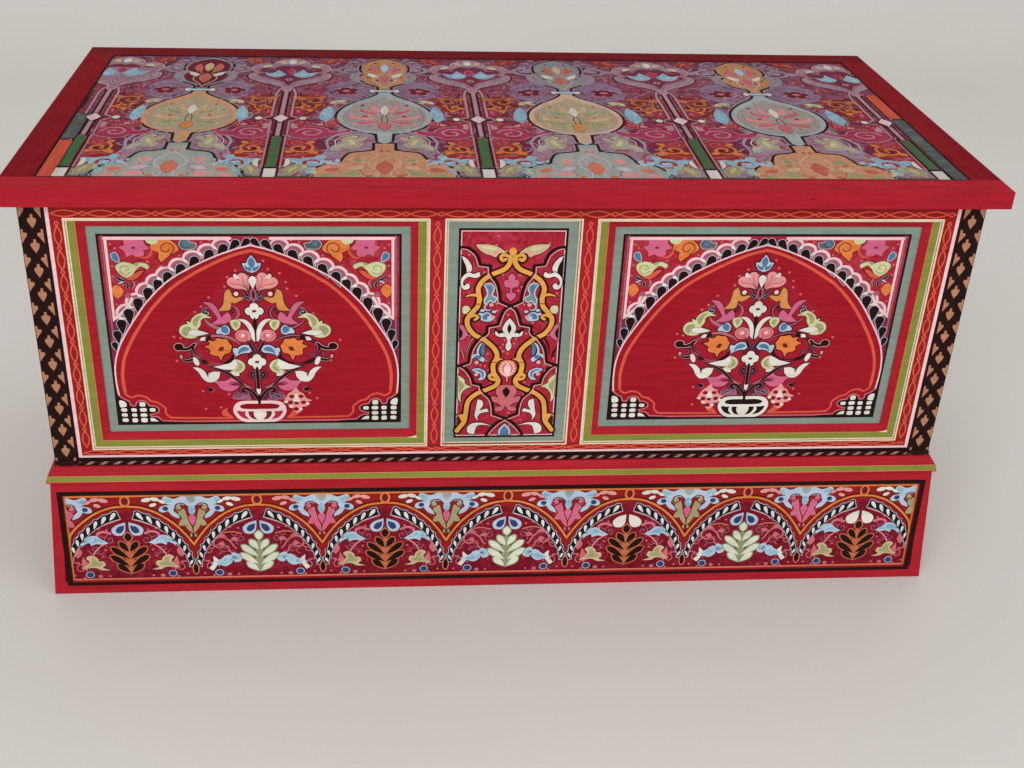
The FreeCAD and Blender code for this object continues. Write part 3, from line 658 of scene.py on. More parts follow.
def petal_band():
    """Black drops under white scallops, along the left half of the arch."""
    art = Art()
    drops = [(-5.4, 293.6, 4.2), (-18.5, 291, 4.8), (-33, 284.8, 5.2), (-50, 277, 5.4), (-68, 268, 5.5),
             (-85, 257.5, 5.6), (-101, 246.5, 5.7), (-113.5, 237, 5.4), (-126, 225, 5.8), (-139, 210.5, 6.0),
             (-151.5, 195.5, 6.2), (-161.4, 181, 5.8), (-168, 166, 5.0), (-172.4, 151.5, 3.6)]
    places = sampled(ARCH, 1.0)
    for x, y, r in drops:
        _, _, tx, ty = min(places, key=lambda p: math.dist(p[:2], (x, y)))
        nx, ny = -ty, tx
        way = math.atan2(ty, tx)
        scalloped = 186 < y < 290
        if scalloped:
            art.fill(ring(x + nx * 5.4, y + ny * 5.4, r + 6.4, r + 5.0, 12, way), "pink_white", 3)
            art.fill(ring(x + nx * 3.4, y + ny * 3.4, r + 4.6, r + 3.4, 12, way), "mauve", 4)
        foot = (x - tx * r * 2.1 - nx * r * 1.25, y - ty * r * 2.1 - ny * r * 1.25)
        top = (x + tx * 1.4 + nx * 1.2, y + ty * 1.4 + ny * 1.2)
        art.fill(drop(*top, *foot, r + 0.2), "black", 7, "ice", 0.7)
        if scalloped:
            px, py = x - tx * (r + 3.4) + nx * 6.4, y - ty * (r + 3.4) + ny * 6.4
            art.fill(drop(px, py, px + tx * 2.5 - nx * 6.4, py + ty * 2.5 - ny * 6.4, 2.2), "white", 8)
    return art


def spandrel():
    """Flowers in the left corner over the arch."""
    art = Art()
    art.fill("-172,299! -20,299! -20,286! -60,268! -100,244! -130,214! -150,186! -172,188!", "magenta_ground",
             1)
    art.fill("-149,300! -142,297 -138,299 -132,297 -127,300! -125,291 -120,286! -127,283 -127,277 -135,275 "
             "-140,278 -147,275! -148,281 -154,287! -148,290", "pink", 4, "rose", 0.8)
    art.fill(ring(-138, 286.5, 2.4, 1.6), "plum", 5)
    art.line("-133,275 -126,273 -120,276 -117,282 -118,288", "coral", 3.2, 3, shape="both")
    art.fill("-118,289 -114,296 -105,299 -95,297 -88,291 -85,284 -90,280 -95,277 -100,273 -107,267! -110,274 "
             "-109,280 -115,283", "orange", 4, "brown", 0.6)
    art.line("-96,277 -91,283 -92,290 -99,293 -105,289 -105,283 -100,281 -96,284", "brown", 1.2, 5)
    art.fill("-124,298! -118,300 -109,300! -108,295 -114,291 -121,293", "pale_leaf", 5)
    art.fill("-84,291 -79,298 -73,299! -72,294 -64,292! -66,286 -74,285 -80,285", "slate", 4, "ice", 0.8)
    art.fill("-80,293 -75,296 -74,290 -78,288", "blue", 5)
    art.fill("-161,262 -158,253 -150,247 -143,250 -138,257 -132,262 -124,258! -122,262 -128,266 -137,266 "
             "-140,264 -145,266 -153,267", "pale_leaf", 5, "tan", 0.8)
    art.line("-144,254 -150,250 -156,254 -155,261 -149,262 -146,258 -150,256", "leaf", 1.2, 6)
    art.fill("-152,246 -146,243 -138,245 -131,252 -128,256! -135,255 -142,250 -147,249", "coral", 4)
    art.fill("-140,264! -137,267 -133,266! -136,262", "leaf", 6)
    art.fill("-165,277 -160,280 -157,274 -157,268 -163,271", "blue", 4, "ice", 1.0)
    art.fill("-168,232 -162,236 -156,230 -157,224 -163,218! -167,223", "orange", 4, "coral", 0.8)
    art.line("-162,249 -158,244 -151,242", "black", 3, 4, shape="both", edge="ice", rim=0.5)
    art.line("-151,240 -149,236 -150,231", "black", 3, 4, shape="both", edge="ice", rim=0.5)
    art.line("-160,238 -154,241", "ice", 2.6, 4, shape="both")
    art.line("-144,244 -141,238 -144,231", "mauve", 1.4, 4, shape="both", edge="blush", rim=0.5)
    art.fill("-155,222! -150,226 -146,222 -151,218", "mauve", 3)
    art.line("-112,262 -106,262 -99,259", "mauve", 1.6, 3, shape="both")
    for x, y in ((-165, 291), (-160, 286), (-165, 262), (-166, 248), (-155, 236), (-108, 262), (-123, 268),
                 (-93, 270), (-85, 276), (-58, 294), (-48, 296), (-36, 298), (-165, 210), (-160, 203)):
        art.fill(ring(x, y, 1.6, 1.4, 6), "rose", 3)
    return art


def corner_tiles():
    """Small white tiles on black in the left foot corner of the arch."""
    art = Art()
    art.fill(path("-178,80!") + path(STEP_OUT)[:-2] + path("-96,36.4! -178,36.4!"), "black", 5)
    for x, y, w, h in ((-171, 56.5, 8.6, 5.6), (-158.6, 56.5, 7.8, 5.6), (-147, 56.5, 9.6, 5.6),
                       (-135.4, 56.2, 8.4, 5.4), (-171, 49, 8.6, 5.0), (-158.6, 48.8, 7.4, 5.0),
                       (-147, 48.6, 9.6, 5.2), (-170.6, 41.2, 8.8, 5.6), (-158.6, 40.8, 8.2, 6.2),
                       (-147, 40.8, 9.6, 6.4), (-147.4, 65, 8.6, 6.8)):
        a, b = w * 0.44, h * 0.43
        art.fill([(x - a, y, False), (x - a * 0.8, y + b, False), (x + a * 0.8, y + b, False),
                  (x + a, y, False), (x + a * 0.8, y - b, False), (x - a * 0.8, y - b, False)], "white", 7)
    art.fill("-175,61 -175.5,71 -169,69 -167,63 -170,61", "white", 7)
    art.fill("-139,39! -139,44 -134,43 -129,38.6!", "white", 7)
    return art


def bowl(dark=False):
    """The bowl of the tree, white over red or white over black."""
    art = Art()
    body, inside = ("white", "black") if dark else ("pink_white", "deep_red")
    art.fill(both("0,69 20,69 28,66.5 33,60 33.5,52 29,43 21,37.4 12,36.5 0,36.5"), body, 6,
             "black" if dark else None, 1.2)
    art.fill(both("0,64.6 16,64.6 24,62.6 25,59.6 20,57 0,56.6"), inside, 7)
    half = Art()
    half.fill("29,53.6 22,53 18,53.2! 19,48 14,40.5! 22,43 27,48", "black" if dark else "crimson", 7)
    half.fill("15,53! 8,53! 8,47 4,40! 10,42 14,47", "black" if dark else "brown", 7)
    art.pair(half)
    art.fill(both("0,53.6 5.4,53! 5.6,46 3.6,39.6! 0,38.6"), "white", 8)
    return art


def flower_tree():
    """The flowering tree, given as its left half where it is even and whole where it is not."""
    half = Art()
    half.fill("0,268! -14,262 -30,246 -44,232 -52,216 -66,208 -82,194 -94,178 -84,160 -102,152 -98,134 "
              "-82,118 -66,96 -56,82 -40,74 -20,70 0,70! 0,268!", "tree_ground", 2)
    # Bud and fan at the top
    half.fill("0,277! -4.6,270.6 -6,266.6 -11.4,266! -9.6,260 -6,255.4 0,253! 0,265!", "ice", 4)
    half.fill("0,274.4! -3.6,269.6 -3.6,264 0,259.4! 0,266!", "blue", 5)
    half.fill("-1,261.6! -1.4,255.6 -5.6,256.6 -8.4,260 -8.8,263.8! -4.4,260.4", "blue", 5)
    half.fill("-5,230! -10,236 -16,243 -17.6,249.6 -12,253 -6.4,250 -4.8,243 -4.4,236", "blush", 4, "rose",
              0.7)
    half.fill("-6.4,229! -14,231 -22,232 -28.6,236 -30.4,241 -26.6,246 -20,246 -16,242 -12,237", "blush", 4,
              "rose", 0.7)
    half.line("-8,232 -17,237 -23,237 -27,240", "rose", 1.4, 5)
    half.line("-6,233 -11,241 -12,248", "rose", 1.4, 5)
    half.fill("-23,249.6 -20.6,252 -17.6,249 -15,245.4! -21,245.4", "pink_white", 6)
    half.fill("0,248.4 -3.6,246.6 -4.6,242 -2.4,236 0,230.6! 0,240!", "white", 6)
    half.line("-4.8,229 -6,236 -6.2,244 -4.4,249.6", "rose", 1.0, 5)
    # Orange leaf with an eye
    half.fill("-12,218.6! -17,214.4 -22.6,211.4 -27.4,212.4 -28.6,204 -31.6,201.6 -43,200.8! -38.6,206 "
              "-36,212 -35,220 -33.4,227 -29,230.6! -27.4,226 -24,221 -18,219.4", "amber", 5, "tan", 0.6)
    half.line(ring(-20.8, 224, 4.4, 4.6), "brown", 1.9, 6, True)
    half.fill(ring(-20.6, 224.2, 2.9, 3.0), "pink_white", 7)
    half.line("-6,216 -7.6,223 -11,228 -14,231", "black", 2.3, 4, shape="both", edge="mauve")
    half.line("-6,217 -10,220 -13,219", "black", 3.5, 5, shape="out", edge="ice", rim=0.5)
    # Pink bird
    half.fill("-61.4,213! -52,211.4 -46.4,206 -43,198 -40.4,191.4 -36,195.6 -32.4,198 -29.6,194 -29,188.6 "
              "-33.6,184 -42,181.6 -52.4,182! -46.4,187.4 -44.6,190 -50,200 -55.6,208", "pink", 5, "mauve",
              0.6)
    half.line("-27,208 -21,203 -19.4,196 -22,190 -27,187", "mauve", 1.8, 4, shape="both", edge="rose",
              rim=0.7)
    half.line("-26,203 -28,198", "plum", 1.8, 4)
    # Black curl over the green leaf
    half.line("-53,206 -59,203.6 -62,198 -57.4,197", "black", 3.0, 5, shape="in", edge="ice", rim=0.8)
    half.line("-61,189 -57,183 -51,178.6 -44,175.4 -36,174", "mauve", 2.4, 4, shape="both", edge="blush",
              rim=0.7)
    # Green leaves
    half.fill("-52.6,190.6! -59,194 -62,197 -68,196 -75,191 -78,184.4 -76.4,180 -70,176.6 -66.4,182 -66,187 "
              "-62,190.6", "pale_leaf", 5, "tan", 0.7)
    half.fill("-63.4,194.4 -71,192.4 -75.4,186.4 -75.6,181 -71.6,178 -69.6,184 -67.4,189.4", "leaf", 6)
    half.fill("-70.6,177 -77,180.6 -85,181.4 -91.4,177 -92.4,170 -88,164 -80,162 -73,163.6 -70.6,169",
              "pale_leaf", 5, "tan", 0.7)
    half.fill("-79,178.6 -86,178 -90,173 -89,167.4 -84.4,164.6 -82.4,170.6 -78.6,174", "leaf", 6)
    half.fill("-57,168.6! -68,172.6 -77,173.4 -82.4,170.6 -79,166.4 -70,165.6", "white", 7, "slate", 0.5)
    half.fill("-83,186 -77.6,183.4 -74.6,179 -79,177.6", "pale_leaf", 6)
    # Blue bud beside it
    half.fill("-47.6,172.4 -42.6,176.6 -36.4,180.4 -31.4,175 -32.6,168 -37,166.6 -42,168 -47.6,168.6", "ice",
              5)
    half.fill("-41.4,177.4 -35.6,178.6 -33,173 -34.4,168! -40.4,170.4", "blue", 6)
    half.fill("-29.6,186 -22,187.6 -18,184 -19.6,177 -24,172.6! -28.4,178", "pale_leaf", 5, "tan", 0.8)
    half.fill("-27,184 -22,185 -21,179 -24,176!", "leaf", 6)
    # White sepals and the pair of pink roses
    half.fill("-0.8,156! -1,168 -3.4,178 -8,185 -14,188.6 -21,188.6! -14.6,184.4 -9.6,178 -6.4,170 -4.4,160",
              "white", 6, "mauve", 0.6)
    half.fill("-24.4,166 -21,171.4 -14,172.6 -7.6,169.4 -5.6,163.4 -9.6,158.6 -17.6,157.4 -22.6,160.4",
              "rose", 5, "blush", 0.8)
    half.line("-9,160 -7.6,166 -12,170.4 -18.4,169.4 -20,164.6 -16,161.6", "blush", 1.3, 6)
    half.fill(ring(-15.4, 165.6, 2.6, 2.4), "pink_white", 7)
    # Ring of the orange flower, with its scrolls
    half.line("-60,163 -67,159 -74,153.6 -77.6,145 -75.6,136 -68,128.6 -56,124 -44,123.6 -35,126.6 -29,133 "
              "-27.6,142", "plum", 1.8, 4, edge="rose", rim=0.8)
    half.line("-45,124 -36,126.4 -30,132 -28,141", "black", 3.5, 6, shape="both")
    half.line("-72,132 -66,127.6 -58,124.4", "black", 3.2, 6, shape="both")
    half.line("-62,162.6 -52,165 -40,164.4 -28,160 -20,153", "mauve", 1.8, 4, shape="both", edge="blush",
              rim=0.6)
    half.line("-56,166 -58,162 -62,160.6", "black", 4.6, 6, shape="both")
    half.fill("-68.6,159 -65.6,163.4 -61.4,163 -62.4,158.6", "white", 6)
    half.line("-76,153 -81,148.4 -87.6,146 -94,147", "black", 3.8, 6, shape="even", edge="blush")
    half.fill(ring(-95.2, 149.4, 5.6, 5.0), "black", 6, "blush", 1.0)
    half.line("-77,154 -78,146 -75,138", "black", 2.7, 6, shape="both", edge="mauve")
    half.line("-75,136 -80,131 -87,129.4 -93,133", "black", 3.5, 6, shape="both", edge="blush", rim=0.7)
    half.fill("-95,138! -91.6,137 -92.4,131.6 -94.6,133", "blush", 6)
    half.line("-84,142 -82,137 -86,134.6", "mauve", 1.2, 5, shape="both")
    half.fill(ring(-69.6, 136.4, 2.6, 2.2), "plum", 5, "mauve", 0.7)
    half.fill("-78.8,134 -75,133.4 -71.8,125 -74.4,122 -78.2,127", "white", 7, "mauve", 0.6)
    # Orange flower
    half.fill("-64.4,150! -57,153 -58.4,158.4 -51.6,157.6 -47.6,161.6 -42,160.4 -35.6,160 -33,155 -30,151! "
              "-31.4,145 -33.4,140.4 -38.6,139 -42,135.6 -44.6,129! -47.6,135.6 -52.4,136.4 -57.6,139.4 "
              "-57,145", "orange", 6, "brown", 0.4)
    half.fill("-47,143.6 -44.4,149 -40,149 -41.6,143.6", "brown", 7)
    # Blue leaf and its bud
    half.fill("-6,145 -9.4,150.6 -15.6,151.6 -21.4,148.6 -25,142 -26,134.6! -20.4,138.6 -14,140.4 -9,140.6",
              "ice", 5)
    half.fill("-8.4,145.4 -12,148.6 -17,148.6 -21.4,144.6 -23.4,137.6! -18.6,141.6 -13,143", "blue", 6)
    half.fill("-28.6,147 -23.4,146.4 -23.4,140 -27,136.6! -28.6,141", "ice", 6)
    # White and green tulip
    half.fill("-54,120! -40,124 -30,129.4 -24,131 -23.4,120 -30,116 -42,116.6", "white", 6, "mauve", 0.5)
    half.fill("-25,130.4 -18.4,127 -15.6,120.4 -19,113.6 -26,110.6 -34,112.4! -28,116.6 -25,121 -24,126",
              "pale_leaf", 7, "tan", 0.8)
    half.fill("-24,127 -19.4,124 -18.6,118 -23,113.6 -29,113.4! -25.6,117 -23,121.6", "leaf", 8)
    half.fill("-34,112! -29.6,107.4 -23.6,106.6 -23.6,110.6 -29,112.4", "white", 6)
    half.line("-60,120 -50,117 -40,112 -31,105 -24,98 -18,91 -14,84", "black", 3.5, 5, shape="both",
              edge="mauve")
    half.line("-26,100 -17,92.6 -8,88", "mauve", 1.6, 5, shape="both", edge="blush", rim=0.5)
    # White tulip, pink bird and small curl
    half.fill("-79.6,119.6! -72,118.4 -66,113 -62.4,105 -60.6,110 -55,113 -47,112.4! -49,104.4 -55,98.6 "
              "-63,98 -69,103.6 -73,112", "white", 7, "blush", 0.5)
    half.line("-61.4,112 -61.8,104", "grey", 1.0, 8, shape="out")
    half.fill("-56.4,99.4! -46,98.6 -39.6,99.6 -33.4,104! -27,100.4 -24.4,97! -30,96 -36,93.4 -30,91.6 "
              "-24.4,92! -29,86.6 -36,84 -43,85.6 -48.6,89.4 -50.4,93.6", "pink", 5, "mauve", 0.6)
    half.line("-27,96.6 -33,97 -37.6,94", "plum", 1.6, 6, shape="both")
    half.line(ring(-60, 86, 3.8, 3.4), "mauve", 1.2, 5, True)
    half.fill(ring(-60.6, 86.2, 3.4, 3.0), "black", 6)
    # Leaves over the bowl
    half.fill("-33.6,72 -31.6,78.6 -25,82.6 -17.6,82 -12,78 -10,70! -20,70!", "mauve", 3)
    half.line("-30,73 -26,78 -19,79.6", "violet", 2.2, 4, shape="both")
    half.line("-27,71 -21,75.4 -15,76", "violet", 2.0, 4, shape="both")
    half.line("-18,70 -14,76 -13,82", "violet", 2.0, 4, shape="both", edge="plum", rim=0.5)
    half.line("-9,72 -12,80", "plum", 1.6, 4, shape="both")
    half.line("-1,70 -5,78 -11,85 -18,88 -20.6,84.6 -17,82.6", "black", 3.5, 7, edge="mauve", rim=0.8)
    half.line("-1,103 -6,104 -9,108 -7,112 -4,110", "black", 2.7, 6, edge="mauve", rim=0.8)
    half.line("-1,138 -5,147 -11,158", "black", 3.5, 6, shape="both", edge="mauve", rim=0.8)
    half.line("-2,140 -9,137 -10,132", "plum", 1.6, 5, shape="both")
    half.line("-2,216 -3,224 -1.4,230", "mauve", 2.6, 4, edge="plum", rim=0.5)
    art = Art()
    art.pair(half)
    art.line("0,60 0,90 -0.6,118", "black", 3.6, 7, edge="mauve", rim=0.8)
    art.line("0,156 0,190", "black", 2.0, 7)
    art.line("0,207 0,216", "mauve", 3.0, 5)
    art.fill(both("0,87 2.6,87.4 2.4,83 0,77.6!"), "white", 8)
    for y in (127, 200):
        for turn in range(4):
            a = math.radians(90 * turn)
            art.fill(ring(6.0 * math.cos(a), y + 6.0 * math.sin(a), 5.4, 5.4, 9), "white", 7)
        art.line(ring(0, y, 5, 5), "mauve", 4.4, 6, True)
        art.fill(path(f"-2.4,{y - 1.6}! -2.4,{y + 1.6}! 2.4,{y + 1.6}! 2.4,{y - 1.6}!"), "brown", 8)
    for x, y, _ in path("-20,256 14,269 19,258 33,252 -34,234 40,240 -54,219 52,221 41,231 -72,199 -92,162 "
                        "-99,129 64,80 73,72 -38,79 -68,57 -49,59 -70,84 -72,112 82,182 -30,247 -64,206 "
                        "72,196 92,128 104,158 -100,164"):
        art.fill([(x, y - 2, True), (x - 1.8, y + 0.8, False), (x - 0.7, y + 1.8, False), (x, y + 0.9, True),
                  (x + 0.9, y + 1.7, False), (x + 1.8, y + 0.4, False)], "rose", 3)
    return art


def cluster():
    """The small pink and white flower beside the bowl."""
    art = Art()
    art.fill("0,88 -5,83 -10,79 -14,72 -17,66! -11,66 -10,60 -5,58 -3,52 2,50 6,54 7,59 13,60 14,66 20,69! "
             "12,73 9,79 4,82", "blush", 5)
    for x, y, r in ((-6, 75, 3.4), (6, 75, 3.2), (-8, 66, 3.6), (9, 66, 3.4), (-1, 56, 3.6), (0, 65, 3)):
        art.fill(ring(x, y, r, r * 0.8, 8), "deep_red", 6)
    art.fill(both("0,80 2.4,74 4.4,68 0,67"), "white", 7)
    for x, y in ((-13, 67), (-7, 60), (14, 64), (5, 56)):
        art.fill(ring(x, y, 2.4, 2, 7), "white", 7)
    return art


def arch_art(dark):
    """Everything inside one arch panel's borders."""
    art = Art()
    half = Art()
    half.add(outlined(spandrel(), "outline", 1.2, 2.4))
    half.add(petal_band())
    half.add(corner_tiles())
    half.line("-170,297! -170,189! -160,198 -152,207 -146,218", "pink_white", 3.6, 6, shape="even")
    half.line("-171,299! -24,299!", "pink_white", 4.0, 6)
    half.line("-173.6,302! -173.6,150!", "mauve", 2.2, 4)
    half.fill("-177,186! -172,188! -160,188! -160,176! -166,160! -172,138! -177,118!", "plum", 3)
    half.line(ARCH, "pink_white", 2.0, 8)
    half.line(INNER_ARCH, "coral", 4.0, 8)
    half.line(STEP_OUT, "rose", 1.7, 8)
    half.line(STEP_IN, "coral", 2.6, 8)
    half.fill("-33,42! -40,44.4 -47,46.6 -48.6,51.6 -45.6,55.8 -40,59! -41.6,54 -39.4,50 -36,46", "coral", 8)
    art.pair(half)
    art.fill(both(path(STEP_OUT)[::-1] + path(ARCH)[1:]), "arch_red", 6)
    art.add(outlined(flower_tree(), "outline", 1.5, 3), lift=5)
    art.add(bowl(dark), lift=6)
    return art


def arch_panel(name, side, origin, right, clusters=(1,), span=212.5, dark=False):
    """Borders and ornament of one arch panel. Its origin is the middle of the opening's foot."""
    canvas = Canvas(name, side, origin, right, (0, 0, 1))
    edge, low, high = span - 21, 21, 311
    inner, foot = edge - 13.6, 12.6
    canvas.frame((-edge, low), (edge, high), 11.4, "teal", 1)
    canvas.frame((-edge + 11, low + 10), (edge - 11, high - 10.4), 2.8, "black", 3)
    canvas.band((-inner, low + foot), (inner, high - 13), "magenta_ground", 2)
    scale = inner / DRAWN_HALF
    art = arch_art(dark).mapped(lambda u, v: (u * scale, (v - DRAWN_FOOT) * SQUEEZE + low + foot + 0.2))
    for place in clusters:
        art.add(cluster(), place * 47, -2.6, lift=5)
    canvas.draw(art)
    canvas.finish()


def front_arches():
    """The two arch panels of the front. The right one has a black bowl and two clusters."""
    face, foot = corner("front_left_panel", 0)[1], corner("front_bottom_rail", 1)[2]
    middle = (corner("front_right_panel_moulding", 0)[0] + corner("front_right_panel_moulding", 1)[0]) / 2
    arch_panel("left_arch", "front", (-middle, face, foot), (1, 0, 0))
    arch_panel("right_arch", "front", (middle, face, foot), (1, 0, 0), (-1, 1), dark=True)


# Bands of the frame

# Heights above the floor at which the black, red and pink bands of the frame meet
FOOT_BLACK, FOOT_LINE, HEAD_LINE, HEAD_RED, HEAD_BLACK = 208.3, 211.5, 562.3, 562.5, 565
# Period, length and swell of the oval, and pinch of the diamond, for each kind of chain
FOOT_CHAIN, HEAD_CHAIN, SIDE_CHAIN = (41.5, 32, 2.9, 1.9), (41.5, 32, 4.0, 2.4), (31, 25, 4.1, 2.2)
CREAM_LINE = 2.2
# The foot of the waist moulding's green band, and how far it and the plinth lean for each unit of height
WAIST_FOOT, WAIST_LEAN, PLINTH_LEAN = 177.5, 2.5 / 8.5, 12 / 176


def chain(canvas, start, length, upright, period, oval, swell, pinch):
    """Two strands that cross: a long oval, then a small diamond, over and over."""
    repeats = max(1, round(length / period))
    stretch = length / (repeats * period)
    for side in (-1, 1):
        points = []
        for at in [i * period for i in range(repeats)]:
            for share in (0, 0.25, 0.5, 0.75):
                points.append((at + oval * share, side * swell * math.sin(math.pi * share)))
            points += [(at + oval, 0), (at + oval + (period - oval) / 2, -side * pinch)]
        points.append((repeats * period, 0))
        run = []
        for along, across in points:
            u, v = (across, along * stretch) if upright else (along * stretch, across)
            run.append((start[0] + u, start[1] + v, False))
        canvas.line(run, "coral", 4, 1.9)


def spade():
    """A spade between two hearts."""
    art = Art()
    art.fill("-1.4,8.8! 1.4,8.8! 1.7,4.8 5.0,3.2! 4.8,-0.6 0,-9.0! -4.8,-0.6 -5.0,3.2! -1.7,4.8", "clay", 3,
             "brown", 0.6)
    return art


def half_heart():
    """Half of a heart, flat on its left side."""
    art = Art()
    art.fill("0.6,8.8! 3.2,8.6! 3.2,4.9 7.0,4.2! 7.4,1.4 4.8,-2.4 0.6,-8.8!", "clay", 3, "brown", 0.6)
    return art


def lattice(canvas, low, high, bottom, top):
    """Hearts and spades on the black of a post, from its low edge to its high edge."""
    rows = round((top - bottom) / 33.5)
    period = (top - bottom) / rows
    middle = (low + high) / 2
    outside = abs(low) > abs(high)
    for row in range(rows):
        z = bottom + period * (row + 0.66)
        canvas.draw(half_heart(), low + (0.3 if outside else 3.4), z)
        canvas.draw(half_heart(), high - (3.4 if outside else 0.3), z, flip=True)
        canvas.draw(spade(), middle, z - period * 0.4)


def moulding_flats(name, side, origin, right, half, z0, z1):
    """Cream and green lines on the flat part of a panel moulding, with an orange line of painted highlight
    along its inner edge and a cream wedge of painted highlight at one foot corner.
    """
    canvas = Canvas(name, side, origin, right, (0, 0, 1))
    flat, top = 12, 2
    canvas.band((-half, z0), (-half + flat, z1), "olive", 1)
    canvas.band((half - flat, z0), (half, z1), "olive", 1)
    canvas.band((-half + flat, z0), (half - flat, z0 + flat), "olive", 1)
    for x in (-half + 1.1, half - 1.1):
        canvas.line([(x, z0 + 1.2, True), (x, z1 - 1.2, True)], "cream", 3, CREAM_LINE)
    canvas.band((-half, z0), (half, z0 + CREAM_LINE), "cream", 4)
    canvas.band((-half, z1 - top), (half, z1), "cream", 5)
    edge, foot = half - flat + 0.5, z0 + flat
    # An orange line where the flat meets the splay: painted highlight along that edge.
    canvas.line([(-edge, z1 - top, True), (-edge, foot - 0.5, True), (edge, foot - 0.5, True),
                 (edge, z1 - top, True)], "salmon", 6, 0.9)
    # A cream wedge at the right foot corner: painted highlight on the mitre.
    canvas.fill([(edge - 13, foot - 0.6, True), (edge - 5, foot + 1.2, False), (edge - 0.6, foot + 3, True),
                 (edge, foot - 1.4, True)], "cream", 7)
    canvas.finish()


def frame_bands(canvas, half, inner, openings, z0, z1, low, high, rich=True):
    """Black posts and foot, and pink and cream lines. If rich, also chains on red, hearts and spades."""
    line_in, line_out = inner + 16.5, inner + 21
    canvas.band((-half, low), (half, FOOT_BLACK), "black", 1)
    canvas.band((-line_in, FOOT_BLACK), (line_in, z0), "chain_red", 2)
    canvas.band((-line_in, z1), (line_in, HEAD_RED), "chain_red", 2)
    canvas.band((-line_in, HEAD_BLACK), (line_in, high), "black", 2)
    for side in (-1, 1):
        a, b = sorted((side * inner, side * line_in))
        canvas.band((a, z0), (b, z1), "chain_red", 2)
        a, b = sorted((side * line_in, side * line_out))
        canvas.band((a, FOOT_BLACK), (b, HEAD_BLACK), "pink_white", 5)
    canvas.band((-line_in, FOOT_BLACK), (line_in, FOOT_LINE), "pink_white", 5)
    canvas.band((-line_in, HEAD_LINE), (line_in, HEAD_BLACK), "pink_white", 5)
    rim = CREAM_LINE
    for a, b in openings:
        canvas.frame((a - rim, z0 - rim), (b + rim, z1 + rim), rim, "cream", 6)
    if not rich:
        return
    chain(canvas, (-line_in + 2, 215.7), 2 * line_in - 4, False, *FOOT_CHAIN)
    chain(canvas, (-line_in + 2, 552), 2 * line_in - 4, False, *HEAD_CHAIN)
    for side in (-1, 1):
        chain(canvas, (side * (inner + 9.2), z0 + 2), z1 - z0 - 4, True, *SIDE_CHAIN)
        lattice(canvas, *sorted((side * (line_out + 0.4), side * half)), low + 2, high - 2)
    for (_, a), (b, _) in zip(openings, openings[1:]):
        chain(canvas, ((a + b) / 2, z0 + 2), z1 - z0 - 4, True, *SIDE_CHAIN)


def front_bands():
    """The frame, the mouldings' flats and the waist moulding of the front."""
    y = corner("front_bottom_rail", 0)[1]
    inner, half = corner("post_front_right", 0)[0], corner("post_front_right", 1)[0]
    low, high = corner("post_front_left", 0)[2], corner("post_front_left", 1)[2]
    z0, z1 = corner("front_bottom_rail", 1)[2], corner("front_top_rail", 0)[2]
    canvas = Canvas("front_bands", "front", (0, y, 0), (1, 0, 0), (0, 0, 1))
    muntins = [corner(f"front_{side}_muntin", k)[0] for side in ("left", "right") for k in (0, 1)]
    openings = ((-inner, muntins[0]), (muntins[1], muntins[2]), (muntins[3], inner))
    frame_bands(canvas, half, inner, openings, z0, z1, low, high)
    canvas.finish()
    face = corner("front_left_panel_moulding", 0)[1]
    for name, x in (("left_flats", (muntins[0] - inner) / 2), ("right_flats", (inner + muntins[3]) / 2)):
        moulding_flats(name, "front", (x, face, 0), (1, 0, 0), (inner - muntins[3]) / 2, z0, z1)
    tip = corner("waist_moulding_front", 0)[1]
    waist_lines("front", (0, tip, WAIST_FOOT), (1, 0, 0), (0, WAIST_LEAN, 1), 590.6)


def waist_lines(side, origin, right, up, half):
    """The green band of the waist moulding between two thin orange lines."""
    band = Canvas("waist", side, origin, right, up)
    band.band((-half, 0.3), (half, 8.3), "olive", 1)
    for v in (0.5, 8.0):
        band.line([(-half + 1, v, True), (half - 1, v, True)], "salmon", 3, 0.9)
    band.finish()


def end_bands(side, sign):
    """One end of the chest: the frame, its moulding, its arch and the plinth under it."""
    def outside(node):
        """How far out a node of this end comes."""
        return corner(node, int(sign > 0))[0]

    front, back = corner(f"post_front_{side}", 0)[1], corner(f"post_back_{side}", 1)[1]
    middle, half = (front + back) / 2, (back - front) / 2
    inner = half - (corner(f"post_front_{side}", 1)[1] - front)
    low, high = corner("post_front_left", 0)[2], corner("post_front_left", 1)[2]
    z0, z1 = corner(f"{side}_end_bottom_rail", 1)[2], corner(f"{side}_end_top_rail", 0)[2]
    outer = sign * corner("post_front_right", 1)[0]
    name, right = f"{side}_end", (0, sign, 0)
    canvas = Canvas(name, name, (outer, middle, 0), right, (0, 0, 1))
    frame_bands(canvas, half, inner, ((-inner, inner),), z0, z1, low, high)
    lozenge = Art()
    lozenge.fill("-6,-1.6 3,-1 6,1.6 -3,1", "blush", 3)
    twist = Art()
    for i in range(28):
        twist += lozenge.mapped(lambda u, v: (u - 238 + 17.5 * i, v + 201))
    canvas.draw(twist)
    canvas.finish()
    face = outside(f"{side}_end_panel_moulding")
    moulding_flats(name + "_flats", name, (face, middle, 0), right, inner, z0, z1)
    face = outside(f"{side}_end_panel")
    arch_panel(name + "_arch", name, (face, middle, z0), right, (-1, 1), inner)
    tip = outside(f"waist_moulding_{side}")
    waist_lines(name, (tip, middle - 3, WAIST_FOOT), right, (-sign * WAIST_LEAN, 0, 1), half + 2)
    place, lean = (outside(f"plinth_{side}_board"), middle, 0), (-sign * PLINTH_LEAN, 0, 1)
    border = Canvas(name + "_plinth", name, place, right, lean)
    border.frame((-half + 8.5, 12.5), (half - 8.5, 160.5), 6.5, "black", 1)
    border.finish()
    plinth_field(name + "_field", name, place, right, lean, half - 15, (-166, 0, 166))


